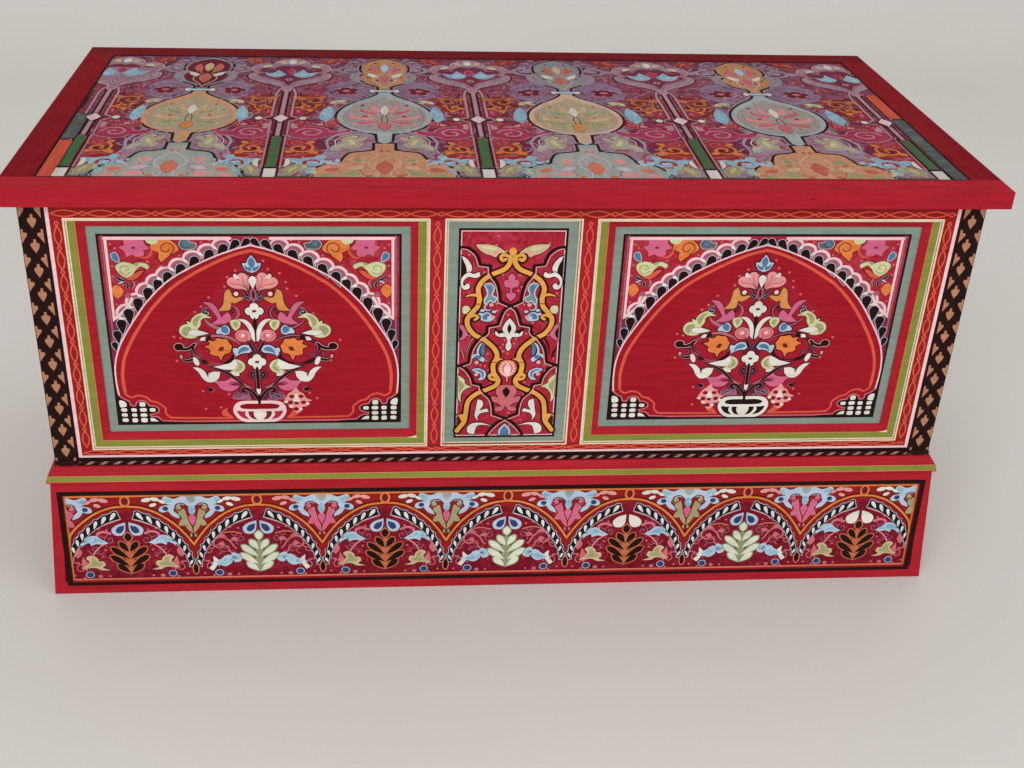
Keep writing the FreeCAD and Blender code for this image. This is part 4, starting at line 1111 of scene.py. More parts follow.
def back_bands():
    """The back: the same frame without chains, and one flowering tree in each panel."""
    y = corner("back_bottom_rail", 1)[1]
    half, inner = corner("post_back_right", 1)[0], corner("post_back_right", 0)[0]
    low, high = corner("post_back_left", 0)[2], corner("post_back_left", 1)[2]
    z0, z1 = corner("back_bottom_rail", 1)[2], corner("back_top_rail", 0)[2]
    canvas = Canvas("back_bands", "back", (0, y, 0), (-1, 0, 0), (0, 0, 1))
    gap = corner("back_muntin", 1)[0]
    frame_bands(canvas, half, inner, ((-inner, -gap), (gap, inner)), z0, z1, low, high, False)
    canvas.finish()
    for side, sign in (("left", 1), ("right", -1)):
        face = corner(f"back_{side}_panel", 1)[1]
        span, tall = (inner - gap) / 2 - 1.5, z1 - z0 - 1.5
        panel = Canvas(f"back_{side}", "back", (-sign * (inner + gap) / 2, face, z0), (-1, 0, 0), (0, 0, 1))
        for inset, width, colour, level in ((0, 11, "olive", 1), (11, 1.8, "cream", 2),
                                            (26, 2.4, "orange", 2), (30, 1.6, "black", 2)):
            panel.frame((inset - span, inset + 1.5), (span - inset, tall - inset), width, colour, level)
        tree = Art()
        tree.add(outlined(flower_tree(), "outline", 1.5, 3), 0, 26, size=0.9)
        tree.add(bowl(), 0, 26, size=0.9, lift=1)
        panel.draw(tree)
        panel.finish()
    wide, foot_y, top = corner("plinth_back_board", 1)
    board = Canvas("plinth_back", "back", (0, foot_y, 0), (-1, 0, 0), (0, 0, 1))
    board.frame((-wide + 22, 14), (wide - 22, top - 16), 5, "black", 1)
    board.frame((-wide + 27, 19), (wide - 27, top - 21), 2.4, "orange", 1)
    board.finish()


def make_rope():
    """The twisted bead: strands wound round it, each with a pink lozenge of painted highlight on the middle
    of its crest.
    """
    low, high = corner("rope_bead", 0), corner("rope_bead", 1)
    radius, middle, back = (high[2] - low[2]) / 2, (high[2] + low[2]) / 2, high[1]
    pitch, lean, highlight_end = 17.5, 3.4, 549
    shares = (0, 0.1, 0.2, 0.32, 0.44, 0.56, 0.68, 0.8, 0.9)
    angles = [math.radians(a) for a in (-90, -70, -50, -32, -16, 0, 16, 32, 50, 70, 90)]
    vertices, faces, materials = [], [], []
    rings = [(turn, share) for turn in range(-1, int((high[0] - low[0]) / pitch) + 2) for share in shares]
    for turn, share in rings:
        reach = radius * (0.8 + 0.2 * math.sin(math.pi * ((share - 0.2) % 1)) ** 0.7)
        for angle in angles:
            x = min(max(low[0] + pitch * (turn + share) + lean * angle * 1.5, low[0]), high[0])
            vertices.append((x * MM, (back - max(reach * math.cos(angle), 0.02)) * MM,
                             (middle + reach * math.sin(angle)) * MM))
    count = len(angles)
    for i, (_, share) in enumerate(rings[:-1]):
        for j in range(count):
            a, b = i * count + j, i * count + (j + 1) % count
            faces.append((a, b, b + count, a + count))
            x = sum(vertices[k][0] for k in faces[-1]) / 4 / MM
            # Faces on the middle of each strand's crest take the pink of the painted highlight.
            materials.append(int(0.3 < share < 0.62 and 3 <= j <= count - 4 and abs(x) < highlight_end))
    faces.append(tuple(range(count - 1, -1, -1)))
    faces.append(tuple(range((len(rings) - 1) * count, len(rings) * count)))
    materials += [0, 0]
    rope = add_mesh("twisted_rope", vertices, faces, [enamel("rope_black", COLOURS["black"], "x"),
                                                      enamel("rope_pink", (156, 112, 104), "x")])
    for polygon, index in zip(rope.data.polygons, materials):
        polygon.material_index = index
    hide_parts("rope_bead")
    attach(rope, "carcass")


# Centre panel: the left half, drawn with y down from the panel's middle line

UNITS = 4.5
CENTRE_FOOT = 1458


def centre_half():
    """Strapwork, leaves and flowers, in units of the drawing."""
    art = Art()
    art.line("-14,215 -16,250 -42,288 -108,320 -160,360 -184,410 -176,470 -182,520 -212,560 -238,602 "
             "-234,650 -200,700 -136,740 -78,800 -62,850 -82,900 -76,960 -50,1008 -62,1042 -110,1070 "
             "-175,1102 -218,1150 -232,1236 -238,1290 -282,1356", "gold", 27, 6, edge="black", rim=7)
    art.line("-24,208 -52,200 -66,216 -56,234 -40,228", "gold", 19, 6, edge="black", rim=7.5)
    art.fill("-172,500! -182,468 -214,456 -258,462! -240,448 -206,440 -176,452 -160,474", "gold", 6, "black",
             6)
    art.line("-226,590 -196,578 -180,592 -196,606", "gold", 16, 6, edge="black", rim=7)
    art.fill("-70,905! -84,876 -68,852 -24,866! -44,872 -58,884", "gold", 6, "black", 6)
    art.line("-66,1004 -92,998 -102,980 -88,968 -76,978", "gold", 18, 6, edge="black", rim=6)
    art.fill("-226,1262! -244,1242 -286,1244! -266,1262 -252,1290", "gold", 6, "black", 6)
    art.line("-66,888! -92,888!", "brown", 5, 7)
    art.line("-168,506! -196,506!", "brown", 5, 7)
    strap = ("-282,155 -238,164 -198,200 -176,262! -122,270! -118,316 -82,370 -66,430 -60,490! -25,508 0,520 "
             "36,548 66,640! 124,652! 128,692 176,738 210,800 224,888! 282,912!")
    lower_strap = ("-284,908! -240,930 -206,980 -194,1030! -150,1040! -140,1080 -92,1130 -76,1180 -70,1242! "
                   "0,1272! 42,1300 80,1342 104,1398!")
    for text in (strap, lower_strap):
        art.line([(u - 11, v + 8, k) for u, v, k in path(text)], "blush", 7, 7)
        art.line(text, "black", 11, 8)
    # White and black palmette at the edge
    art.fill("-284,226! -262,250 -250,292 -262,332 -284,348!", "black", 4.5)
    art.fill("-282,206! -254,222 -232,252 -222,286 -236,318 -262,348! -250,302 -258,262 -270,236", "white", 5,
             "black", 4.5)
    art.fill("-238,306! -210,318 -182,304! -176,330 -204,342 -238,334 -262,352 -270,376 -262,392 -246,376 "
             "-230,390 -238,410 -262,414 -282,392 -280,350 -262,322", "white", 6, "black", 4.5)
    # Pale leaves at the top
    art.fill("-206,138! -160,136 -110,142 -68,160 -34,190! -74,190 -94,214 -122,202 -148,194 -186,166",
             "sand", 5, "brown", 3)
    art.fill("-186,150! -150,148 -112,154 -80,170! -120,172 -150,166", "pale_leaf", 6)
    art.fill(ring(-92, 186, 13), "blush", 7)
    # Blue leaves
    art.fill("-150,384! -114,382 -98,410 -110,450 -82,470! -94,492 -118,482 -136,506 -144,484 -128,450 "
             "-134,410", "steel", 5, "ice", 7)
    art.fill("-140,392! -118,394 -108,414 -118,446 -126,416", "blue", 6)
    art.line("-134,500 -144,530 -128,548 -108,540", "ice", 9, 5, shape="both")
    art.fill(ring(-107, 512, 13), "blush", 7)
    art.fill("-164,604 -154,568 -124,560 -96,582! -92,606 -114,618 -144,616", "ice", 4)
    art.fill("-154,600 -146,574 -122,568 -112,580! -128,590 -128,606", "blue", 6)
    for x, y in ((-156, 548), (-90, 556), (-166, 572)):
        art.fill(ring(x, y, 13, 9), "ice", 5)
    art.fill(ring(-94, 590, 12), "blush", 7)
    art.fill("-122,752! -150,766 -166,804 -162,838 -132,862! -138,884 -166,872 -188,850 -204,864 -200,836 "
             "-180,828 -178,798 -160,764", "ice", 4)
    art.fill("-128,758! -148,772 -158,806 -152,836 -140,846! -134,816 -136,784", "blue", 6)
    art.fill("-150,846! -170,840 -190,846 -184,858 -162,868", "blue", 6)
    art.fill(ring(-178, 888, 13), "blush", 7)
    art.fill("-204,936 -168,926 -128,944! -122,976 -140,1004 -168,1004 -152,984 -156,964 -176,956", "ice", 4)
    art.fill("-190,938 -164,936 -138,950 -134,976 -146,994! -146,966 -162,948", "blue", 6)
    art.fill(ring(-178, 966, 13), "blush", 7)
    # Pink half discs, pale balls and corner leaves
    art.fill("-286,636! -252,652 -234,690 -250,728 -286,744!", "pink", 4, "mauve", 3)
    art.fill("-286,660! -266,676 -262,700 -270,722 -286,730!", "black", 5)
    art.line("-250,700 -220,712 -200,716", "blush", 4, 4, shape="both")
    art.fill("-262,520 -236,520 -224,540 -236,564 -262,568 -270,544", "pale_leaf", 5, "brown", 3)
    art.fill("-284,972! -246,1002 -240,1030 -202,1052! -236,1066 -262,1102 -264,1156 -284,1126!", "pale_leaf",
             4, "tan", 3)
    art.fill("-282,1000! -254,1024 -246,1050 -262,1080 -274,1110! -276,1050", "leaf", 5)
    art.fill("-164,1138! -138,1148 -132,1180 -148,1212 -108,1202! -98,1222 -124,1228 -148,1238 -162,1262 "
             "-154,1292! -178,1252 -172,1200", "white", 5, "black", 4.5)
    art.fill("-74,1322! -120,1316 -158,1320 -172,1348 -178,1384! -216,1368 -218,1332 -192,1306 -140,1302",
             "white", 5, "black", 4.5)
    art.fill("-284,1268! -262,1280 -254,1308 -284,1330!", "wine", 3)
    art.line("-250,870 -262,820 -276,790", "blush", 5, 3, shape="both")
    art.line("-150,700 -200,726 -228,780 -238,840", "blush", 4, 3, shape="both")
    # Even figures on the middle line, given as their left half
    art.fill("0,314! -20,334 -16,358 0,368! 0,340!", "pink", 5)
    art.fill("0,410! -10,402 -34,396 -42,372 -30,354 -12,364 0,372!", "pink", 6, "mauve", 2)
    art.fill("0,492! -26,458 -24,438 -8,436 0,450!", "pink", 5)
    art.line("-3,410! -3,440!", "pink", 5, 5)
    art.fill("0,596! -22,624 -38,662 -30,692 -20,702! -46,688 -80,682! -74,708 -46,720 -22,718 -12,730 "
             "-8,750 -16,772 -14,796 0,812!", "white", 6, "black", 4.5)
    art.fill("0,630! -12,664 0,702! 0,664!", "black", 7)
    art.fill("-26,688! -52,682! -80,668 -60,700!", "black", 7)
    art.fill("0,872! -30,878 -50,910 -50,945 -28,975 0,992! 0,930!", "salmon", 6, "brown", 4)
    for angle in range(-70, 80, 24):
        a = math.radians(angle)
        art.fill(ring(-38 * math.cos(a), 930 - 46 * math.sin(a), 7), "pink_white", 7)
    art.fill("0,886! -20,926 -14,962 0,990! 0,930!", "pink_white", 8)
    art.line("-2,990! -2,1014!", "blush", 5, 7)
    art.fill("0,1038! -44,1048 -60,1088 -42,1128! -80,1118 -84,1150 -44,1166 -22,1190! -56,1192 -60,1218 "
             "-22,1216 0,1184! 0,1100!", "rose", 6, "wine", 3)
    art.fill("0,1052! -22,1084 0,1128! 0,1090!", "black", 7)
    art.fill("0,1306! -34,1350 -36,1400! 0,1400!", "ice", 9)
    art.fill("0,1322! -24,1356 -25,1396! 0,1396!", "blue", 10)
    return art


def centre_height(v):
    """The height above the opening's foot, in millimetres, of a height in the drawing."""
    return (CENTRE_FOOT - v) / UNITS * SQUEEZE - 2.4


def centre_panel():
    """Borders and strapwork of the narrow panel between the arches."""
    face, z0 = corner("front_centre_panel", 0)[1], corner("front_bottom_rail", 1)[2]
    canvas = Canvas("centre_panel", "front", (0, face, z0), (1, 0, 0), (0, 0, 1), 0.08)
    edge, top = corner("front_right_muntin", 0)[0] - 0.5, corner("front_top_rail", 0)[2] - z0 - 0.6
    canvas.frame((-edge, 0.6), (edge, top), 16, "teal", 1)
    canvas.frame((-edge, 0.6), (edge, top), 2.0, "cream", 3)
    canvas.band((-66.5, 9), (66.5, 310.5), "black", 2)
    canvas.band((-63.6, 12), (63.6, 307.5), "pink_white", 3)
    canvas.band((-62.4, 13.2), (62.4, 306.3), "magenta_ground", 4)
    half = Art()
    for kind, points, colour, level, *rest in centre_half():
        if kind == "line":
            rest[0] /= UNITS
        points = [(u / UNITS, centre_height(v), k) for u, v, k in points]
        half.append((kind, points, colour, level + 2, *rest))
    art = Art()
    art.pair(outlined(half, "outline", 1.1, 5))
    petals = []
    for i in range(150):
        u = 59 * noise.noise(Vector((i * 1.7, 0.3, 4.1))) * 1.9
        v = 160 + 145 * noise.noise(Vector((0.9, i * 2.3, 7.7))) * 1.7
        if abs(u) < 59 and 17 < v < 302 and all(math.dist((u, v), p) > 5 for p in petals):
            petals.append((u, v))
            art.fill(f"{u:.1f},{v - 2.2:.1f}! {u - 1.9:.1f},{v + 0.8:.1f} {u:.1f},{v + 1.4:.1f} "
                     f"{u + 1.9:.1f},{v + 0.5:.1f}", "rose", 5)
    canvas.draw(art.within(62.2, 13.4, 306.2))
    canvas.fill(ring(0, centre_height(180), 4.6, 5.6), "gold", 9)
    canvas.finish()


# Plinth: arches of white rope over palmettes

# The round end, the tip and the thickness of each leaf
PALMETTE = ((-10.4, 45, -0.8, 31, 4.3), (-21.4, 36.6, -1.0, 19.4, 4.3), (-23, 23.6, -1.0, 7.6, 4.4),
            (-15, 9.6, -1.0, -3, 4.3))


def leaf(x, y, tip_x, tip_y, r):
    """A long leaf from its tip at the stem to its round end."""
    length = math.dist((x, y), (tip_x, tip_y))
    ux, uy = (x - tip_x) / length, (y - tip_y) / length
    shape = [(0, 0), (0.32, 0.62), (0.66, 1), (0.93, 0.84), (1 + 0.6 * r / length, 0), (0.93, -0.84),
             (0.66, -1), (0.32, -0.62)]
    return [(tip_x + ux * a * length - uy * b * r, tip_y + uy * a * length + ux * b * r, i == 0)
            for i, (a, b) in enumerate(shape)]


def palmette(fill, edge):
    """A bud over four pairs of leaves, outlined with one thin line."""
    art = Art()
    half = Art()
    for i, (x, y, tip_x, tip_y, r) in enumerate(PALMETTE):
        half.line(leaf(x, y, tip_x, tip_y, r), edge, 3.0, 4 + 0.3 * i, True)
        half.fill(leaf(x, y, tip_x, tip_y, r), fill, 6)
    art.fill("-3,44! 0,50! 3,44! 6,24! 4,2! 0,-6! -4,2! -6,24!", edge, 3)
    art.fill("0,61.4! -4.6,56.6 -3.6,50.6 0,47.4! 3.6,50.6 4.6,56.6", fill, 7, edge, 1.7)
    art.pair(half)
    art.line("0,46! 0,-5!", edge, 2.0, 7)
    return art


def strand(x, y, way, long, wide):
    """One strand of the rope, fat at its upper end."""
    c, s = math.cos(way), math.sin(way)
    shape = [(-long, -0.1 * wide, True), (-long * 0.3, -wide * 0.75, False), (long * 0.45, -wide, False),
             (long, -wide * 0.35, False), (long * 0.9, wide * 0.55, False), (long * 0.2, wide * 0.8, False),
             (-long * 0.5, wide * 0.4, False)]
    return [(x + u * c - v * s, y + u * s + v * c, k) for u, v, k in shape]


def plinth_rope():
    """White strands in a black band under the left half of an arch."""
    art = Art()
    spine = "-79,6! -75,24 -67,42 -56,58 -42,72 -26,82.6 -6,90.4!"
    places = sampled(spine, 0.5)
    total = len(places)
    left, right = [], []
    for i in range(0, total, 12):
        x, y, tx, ty = places[i]
        half = 2.6 + 3.6 * i / total
        left.append((x - ty * half, y + tx * half, False))
        right.append((x + ty * half, y - tx * half, False))
    for row in (left, right):
        row[0], row[-1] = (*row[0][:2], True), (*row[-1][:2], True)
    outline = left + right[::-1]
    art.line(outline, "ice", 1.8, 3, True)
    art.fill(outline, "navy_black", 5)
    at = 0.05
    while at < 0.99:
        x, y, tx, ty = places[int(at * total)]
        way = math.atan2(ty, tx) + 0.62
        size = 0.6 + 0.4 * at
        art.line(strand(x, y, way, 10.4 * size, 5.4 * size), "ice", 1.5, 4, True)
        art.fill(strand(x, y, way, 10.4 * size, 5.4 * size), "navy_black", 5)
        art.fill(strand(x + 0.4, y + 0.5, way, 7.4 * size, 2.9 * size), "white", 8)
        at += (11.8 + 1.6 * at) / (total * 0.5)
    return art


def sprig(colour):
    """Four small petals in the corner over two arches."""
    art = Art()
    for x, y, long, wide, turn in ((0, 3, 6, 3, 10), (11, 2, 7, 3.2, -12), (3, -6, 5, 2.6, -20),
                                   (-9, -1, 5, 2.4, 25)):
        a = math.radians(turn)
        art.fill(ring(x, y, long, wide, 9, a), colour, 4, "black", 0.7)
    return art


def vine_scroll(colour):
    """A spiral with leaves, about 35 mm long."""
    art = Art()
    art.line("14,-12 8,-2 -2,4 -11,0 -12,-9 -5,-13 1,-9 -1,-4", colour, 2.4, 3, edge="wine", rim=0.7)
    art.fill("-14,6! -8,10 0,9 6,3! 0,5 -8,5", colour, 4)
    art.fill("8,-2! 14,4 20,2 18,-4! 13,-2", colour, 4)
    art.fill(ring(-3, -7, 3.4, 3), colour, 4)
    return art


def blue_leaf():
    """An S-shaped leaf with a curl, about 40 mm long, its stem to the right."""
    art = Art()
    art.fill("-20,-2 -22,4 -17,9 -10,8 -9,3! -4,7 4,8 10,3 20,-4! 12,-6 4,-5 -3,-8! -4,-3 -10,-5 -14,-8",
             "ice", 4)
    art.fill("-17,0 -18,4 -13,5.6 -12,1! -5,4 3,5 9,1 14,-3! 4,-2 -4,-4! -8,-1 -13,-4", "sky", 5)
    art.line("-12,3 -13,0 -10,-1", "wine", 1.2, 6)
    return art


def green_scroll():
    """A forked leaf, about 40 mm long."""
    art = Art()
    art.fill("-20,-10! -12,-4 -8,2 -12,8 -6,12 2,8 4,2! 10,2 12,-4 8,-8 18,-12! 6,-12 -2,-8", "sand", 4)
    art.fill("-14,-7! -7,-2 -5,3 -6,8 0,6 2,0! 7,-1 7,-5! 2,-6 -4,-6", "leaf", 5)
    return art


def spandrel_fan(green):
    """The half palmette that hangs between two arches, from its middle line to the left."""
    art = Art()
    stem, edge = ("leaf", "sand") if green else ("pink", "blush")
    art.fill("0,120! -10,119 -22,113 -34,117 -38,112 -35,106 -28,104! -40,101 -43,95 -38,92 -31,94! -25,86 "
             "-16,82! -18,88 -24,96 -15,104 -7,102 0,98!", "ice", 4)
    art.fill("-24,110 -34,114 -35,108 -28,107", "sky", 5)
    art.fill("0,120! -6,117 -5,110 0,106!", "seafoam", 5)
    art.fill("0,103! -4,100 -4,92 0,86!", "sky", 5)
    art.line("-5,101 -12,106 -20,104 -21,98 -16,95 -12,98", "wine", 1.6, 6)
    art.fill("-20,104 -21,97 -15,94 -11,97 -8,88 -6,78 -2,68! -1,60! -6,66 -10,74 -13,84 -17,90 -14,99", stem,
             5, edge, 0.6)
    art.fill("-8,84 -14,80 -18,72! -12,72 -7,76", stem, 5, edge, 0.6)
    art.fill(ring(-34, 98, 3.8, 3.4), "navy", 6, "ice", 0.6)
    art.fill("0,90! -5,84 -3,76 0,70!", "pink", 5)
    art.fill(ring(-3, 56, 1.6, 3), stem, 5)
    return art


def small_curl(colour):
    """A thin spiral with two short leaves, for the ground between larger figures."""
    art = Art()
    art.line("12,-8 8,2 -1,6 -9,1 -9,-7 -2,-10 3,-5 -2,-2", colour, 1.9, 2, edge="wine", rim=0.6)
    art.line("8,2 14,7 19,6", colour, 2.6, 2, shape="both")
    art.line("-4,6 -9,11 -15,11", colour, 2.6, 2, shape="both")
    return art


def bay(odd, blue_buds):
    """Half of one bay, left of its middle line, foot at nought."""
    art = Art()
    art.fill("0,95! -20,88! -48,70! -68,44! -78,10! -83,-14! 0,-14!", "plinth_ground", 1)
    art.line("-80,6 -74,24 -64,42 -50,58 -32,72 -8,82", "blush", 1.1, 3)
    art.add(plinth_rope())
    art.line("0,102.5 -18,100.5 -38,92 -58,76 -72,59 -83,41!", "orange", 3.0, 8, edge="brown", rim=1.2)
    art.fill(ring(0, 110.5, 4.4, 6.4), "wine", 7)
    art.line(ring(0, 110.5, 5.6, 7.4), "orange", 2.6, 8, True, edge="brown", rim=0.8)
    art.fill("-2,77.6! -14,73 -20,66 -17,58 -8,57 -3,64", "ice" if blue_buds else "white", 4, "wine", 0.7)
    if blue_buds:
        art.fill("-3.6,73! -12,70 -15,63 -10,60 -5,65", "navy", 5)
    for curl, x, y, turn, size in (("rose", -62, 8, 10, 0.7), ("mauve", -26, 50, 120, 0.6),
                                   ("rose", -66, 34, 70, 0.6), ("crimson", -30, 18, -30, 0.8),
                                   ("mauve", -44, 32, 200, 0.62)):
        art.add(small_curl(curl), x, y, turn, size)
    if odd:
        art.add(blue_leaf(), -45, 49)
        art.line("-22,60 -30,63 -38,60 -39,53", "pink", 2.0, 3, edge="blush", rim=0.6)
        art.add(green_scroll(), -44, 14)
        art.line("-30,44 -40,36 -46,26 -46,18", "blush", 1.6, 3)
        art.fill("-64,38 -60,30 -66,22 -70,28", "rose", 3)
        art.fill("-60,24! -54,12 -56,0! -62,8", "rose", 3)
    else:
        art.add(vine_scroll("rose"), -46, 48)
        art.line("-22,57 -34,60 -46,58 -58,50", "salmon", 1.6, 2)
        art.add(blue_leaf(), -44, 14, 205, 1.0)
        art.line("-60,34 -52,40 -42,36 -36,26", "salmon", 1.4, 2)
        art.fill("-60,22! -54,16 -55,8 -61,-2! -66,2 -60,10", "white", 4)
        art.fill(ring(-40, 20, 4.2, 3.8), "ice", 6)
    art.fill(ring(-53, -5, 4.6, 4.2), "navy", 5, "ice", 1.0)
    art.fill(ring(-40, -8, 3.2, 2.6), "rose", 4)
    for x, y, _ in path("-34,24 -28,-8 -62,44 -36,68 -26,66 -66,14 -72,-6 -60,-10 -30,34"):
        art.fill(ring(x, y, 1.7, 1.5, 6), "rose", 2)
    return art


BAY, PLINTH_FOOT = 166, 32


def plinth_field(name, side, origin, right, up, half, places):
    """A row of bays with their middles at the places, in a field from -half to half."""
    canvas = Canvas(name, side, origin, right, up)
    low, high = 18.4, 153.6
    canvas.band((-half, low), (half, high), "chain_red", 1)
    canvas.band((-half, high - 4.6), (half, high), "orange", 9)
    canvas.band((-half, low), (half, low + 2.6), "salmon", 9)
    canvas.band((-half, low + 2.6), (-half + 2.4, high - 4.6), "orange", 9)
    canvas.band((half - 2.4, low + 2.6), (half, high - 4.6), "orange", 9)
    gaps = [b - a for a, b in zip(places, places[1:])]
    art = Art()

    def hang(cusp, green, petals, sides):
        """The fan and the bead that hang between two arches, with a sprig on the sides named."""
        fan = Art()
        fan.pair(outlined(spandrel_fan(green), "outline", 0.8))
        art.add(fan, cusp)
        art.fill(ring(cusp, 2, 3.2, 8), "black", 8, "salmon", 1.4)
        for side in sides:
            art.add(sprig(petals), cusp + side * 47, 110, flip=side < 0, lift=2)

    for i, x in enumerate(places):
        odd = i % 2 == 0
        widths = (gaps[max(i - 1, 0)], gaps[min(i, len(gaps) - 1)])
        for side, width in zip((-1, 1), widths):
            scale = width / BAY
            part = Art()
            part.add(outlined(bay(odd, not odd or i in (0, 2)), "outline", 0.8), flip=side > 0)
            art += part.mapped(lambda u, v: (x + u * scale, v))
        art.add(palmette("black", "clay_orange") if odd else palmette("mint", "mint_line"), x, 0, lift=1)
        if i < len(gaps) or places[-1] + gaps[-1] / 2 < half + 40:
            hang(x + widths[1] / 2, odd, "white" if odd else "blush", (1, -1))
    hang(places[0] - gaps[0] / 2, False, "blush", (1,))
    art = art.mapped(lambda u, v: (u, v + PLINTH_FOOT)).within(half - 0.6, low + 1, high - 3.6)
    canvas.draw([item for item in art if extent(item[1])[0] > 0.8])
    canvas.finish()


def plinth_front():
    """The black border on the plinth's frame and the arcade in it."""
    foot_y, inner = corner("plinth_bottom_border", 0)[1], corner("plinth_right_border", 0)[0]
    bands = Canvas("plinth_border", "front", (0, foot_y, 0), (1, 0, 0), (0, PLINTH_LEAN, 1))
    bands.band((-inner, 154), (inner, 160.5), "black", 1)
    bands.band((-inner, 12.5), (inner, 18), "black", 1)
    for side in (-1, 1):
        a, b = sorted((side * inner, side * (inner + 6.5)))
        bands.band((a, 12.5), (b, 160.5), "black", 1)
    bands.finish()
    plinth_field("plinth_field", "front", (0, foot_y + 4, 0), (1, 0, 0), (0, PLINTH_LEAN, 1), inner - 0.5,
                 (-497, -325, -156, 9, 174, 337, 500))


# Lid field: medallions between slender dividers, drawn from the middle of the field's front edge

BULB = ("-9,322! -9,312 -20,296 -38,278 -56,250 -63,222 -60,196 -48,174 -28,158 -10,152! -9,136! -8,124! "
        "0,116!")
DOME = "-12,116! -12,92! -24,88 -42,82 -50,64! -54,50 -72,44 -84,26 -90,2!"
BULB_CORE = "0,298! -9,285 -30,269 -48,247 -54.5,222 -52,198 -42,178 -25,165 0,160!"
TOP = "-8,326! -9,344 -26,360 -35,388 -28,404! -34,424 -30,452 -14,470 0,478!"


def bulb_flower(tone):
    """Leaves and buds in a medallion's bulb, left half."""
    art = Art()
    leaf_colour, rim, bud = {"warm": ("leaf", "sand", "coral"), "cool": ("rose", "blush", "crimson")}[tone]
    art.fill("0,262! -5,250 -5,234 0,220!", "white", 6, bud, 0.8)
    art.fill("-6,232! -16,240 -20,254 -14,266! -10,252 -5,242", rim, 5, "brown", 0.4)
    art.fill("-8,222! -22,226 -34,238 -32,252! -25,240 -14,234", leaf_colour, 5, "white", 0.6)
    art.fill("-8,212! -24,212 -36,216 -46,226! -46,212 -34,204 -20,203", rim, 5, bud, 0.6)
    art.fill("-6,204! -18,198 -30,198 -40,190! -28,186 -14,190 -6,196", leaf_colour, 5, "white", 0.6)
    art.fill(ring(-26, 218, 4.2, 3.8), bud, 6, "white", 0.7)
    art.fill(ring(-40, 240, 3.0, 4.2), "leaf", 5)
    art.fill(ring(-50, 206, 2.4, 5.0), "leaf", 5)
    art.fill(ring(-30, 262, 2.6, 3.6), bud, 5)
    art.fill(ring(-20, 180, 2.6, 3.6), leaf_colour, 5)
    art.fill(ring(-40, 184, 2.4, 3.4), rim, 5)
    art.line("0,226 -4,210 -3,190 0,172", "brown", 1.4, 5)
    art.fill("0,196! -8,188 -7,174 0,164!", "amber" if tone == "warm" else "rose", 6, "brown", 0.5)
    art.line("-10,276 -16,284 -14,294", rim, 1.4, 5)
    art.line("-30,200 -44,198 -52,218 -48,238", bud, 0.9, 4)
    return art


def dome_flower(tone):
    """Leaves and buds in a medallion's dome, left half."""
    art = Art()
    leaf_colour, rim, bud = {"warm": ("leaf", "sand", "peach_red"),
                             "cool": ("blush", "lilac_white", "salmon")}[tone]
    art.line("0,84! -8,74 -18,58 -18,40 -8,26 -8,8 -12,0", rim, 2.4, 5)
    art.fill("0,56! -8,44 -9,26 0,14!", bud, 6, "brown", 0.5)
    art.fill("-24,60! -34,66 -40,60 -34,50! -28,54", leaf_colour, 5, "white", 0.5)
    art.fill("-24,40! -38,38 -46,28! -34,26 -26,32", rim, 5, bud, 0.5)
    art.fill("-28,20! -42,22 -54,14! -42,8 -30,10", leaf_colour, 5, "white", 0.5)
    art.fill("-54,32! -64,34 -74,24! -64,20 -56,24", bud, 5, "white", 0.5)
    art.fill("-60,14! -70,14 -80,4! -68,3 -60,6", leaf_colour, 5)
    art.fill(ring(-36, 46, 3.6, 3.2), bud, 5, "white", 0.6)
    art.fill(ring(-18, 8, 4.8, 4.2), bud, 5, "white", 0.7)
    art.fill(ring(-52, 42, 2.6, 2.4), rim, 5)
    art.fill(ring(-4, 90, 2.6, 4.6), bud, 5)
    art.line("-20,44 -30,34 -28,18 -20,2", "brown", 0.9, 4)
    return art


def cartouche_flower(tone):
    """Leaves and buds in a medallion's head, left half."""
    art = Art()
    inner, rim = {"warm": ("peach_red", "sand"), "cool": ("rose", "ice")}[tone]
    art.line("0,338 -8,356 -16,370 -14,390 -6,400", rim, 1.6, 5)
    art.fill("0,450! -6,438 -5,420 0,408!", rim, 6, "brown", 0.5)
    art.fill("-8,404! -18,414 -20,432 -14,446! -9,428", inner, 5, rim, 0.6)
    art.fill("-12,384! -22,392 -26,408! -18,402 -10,394", "white", 5, inner, 0.5)
    art.fill("0,398! -7,386 -6,370 0,358!", inner, 6, rim, 0.6)
    for x, y in ((-22, 424), (-14, 456), (-24, 386), (-10, 372)):
        art.fill(ring(x, y, 2.0, 3.0, 8), "brown", 5)
    return art


def medallion(outer, inner, dome, dome_in, top, top_in, tone, dome_tone):
    """Half dome, bulb and cartouche, with the colours of each."""
    art = Art()
    for text, shell, core, base, shrink in ((DOME, dome, dome_in, 0, 0.93), (BULB, outer, inner, 0, 0),
                                            (TOP, top, top_in, 400, 0.9)):
        points = both(text)
        art.line(points, "haze", 13.5, 2, True)
        art.line(points, "black", 7.6, 3, True)
        art.fill(points, shell, 4)
        if text == BULB:
            art.fill(both(BULB_CORE), core, 5, "haze", 0.9)
        else:
            art.fill([(u * shrink, max(base + (v - base) * shrink, 1), k) for u, v, k in points], core, 5)
    flowers = Art()
    flowers.pair(bulb_flower(tone))
    flowers.pair(cartouche_flower(tone))
    flowers.pair(dome_flower(dome_tone))
    art.add(flowers, lift=1)
    art.fill("-14,320! -14,328! 14,328! 14,320!", "ice", 7, "black", 1.4)
    for x in (-17, 17):
        art.fill(ring(x, 324, 4.2, 6.2), "white", 6, "black", 1.2)
    art.line("-9,124 0,117 9,124", "ice", 1.2, 7)
    return art


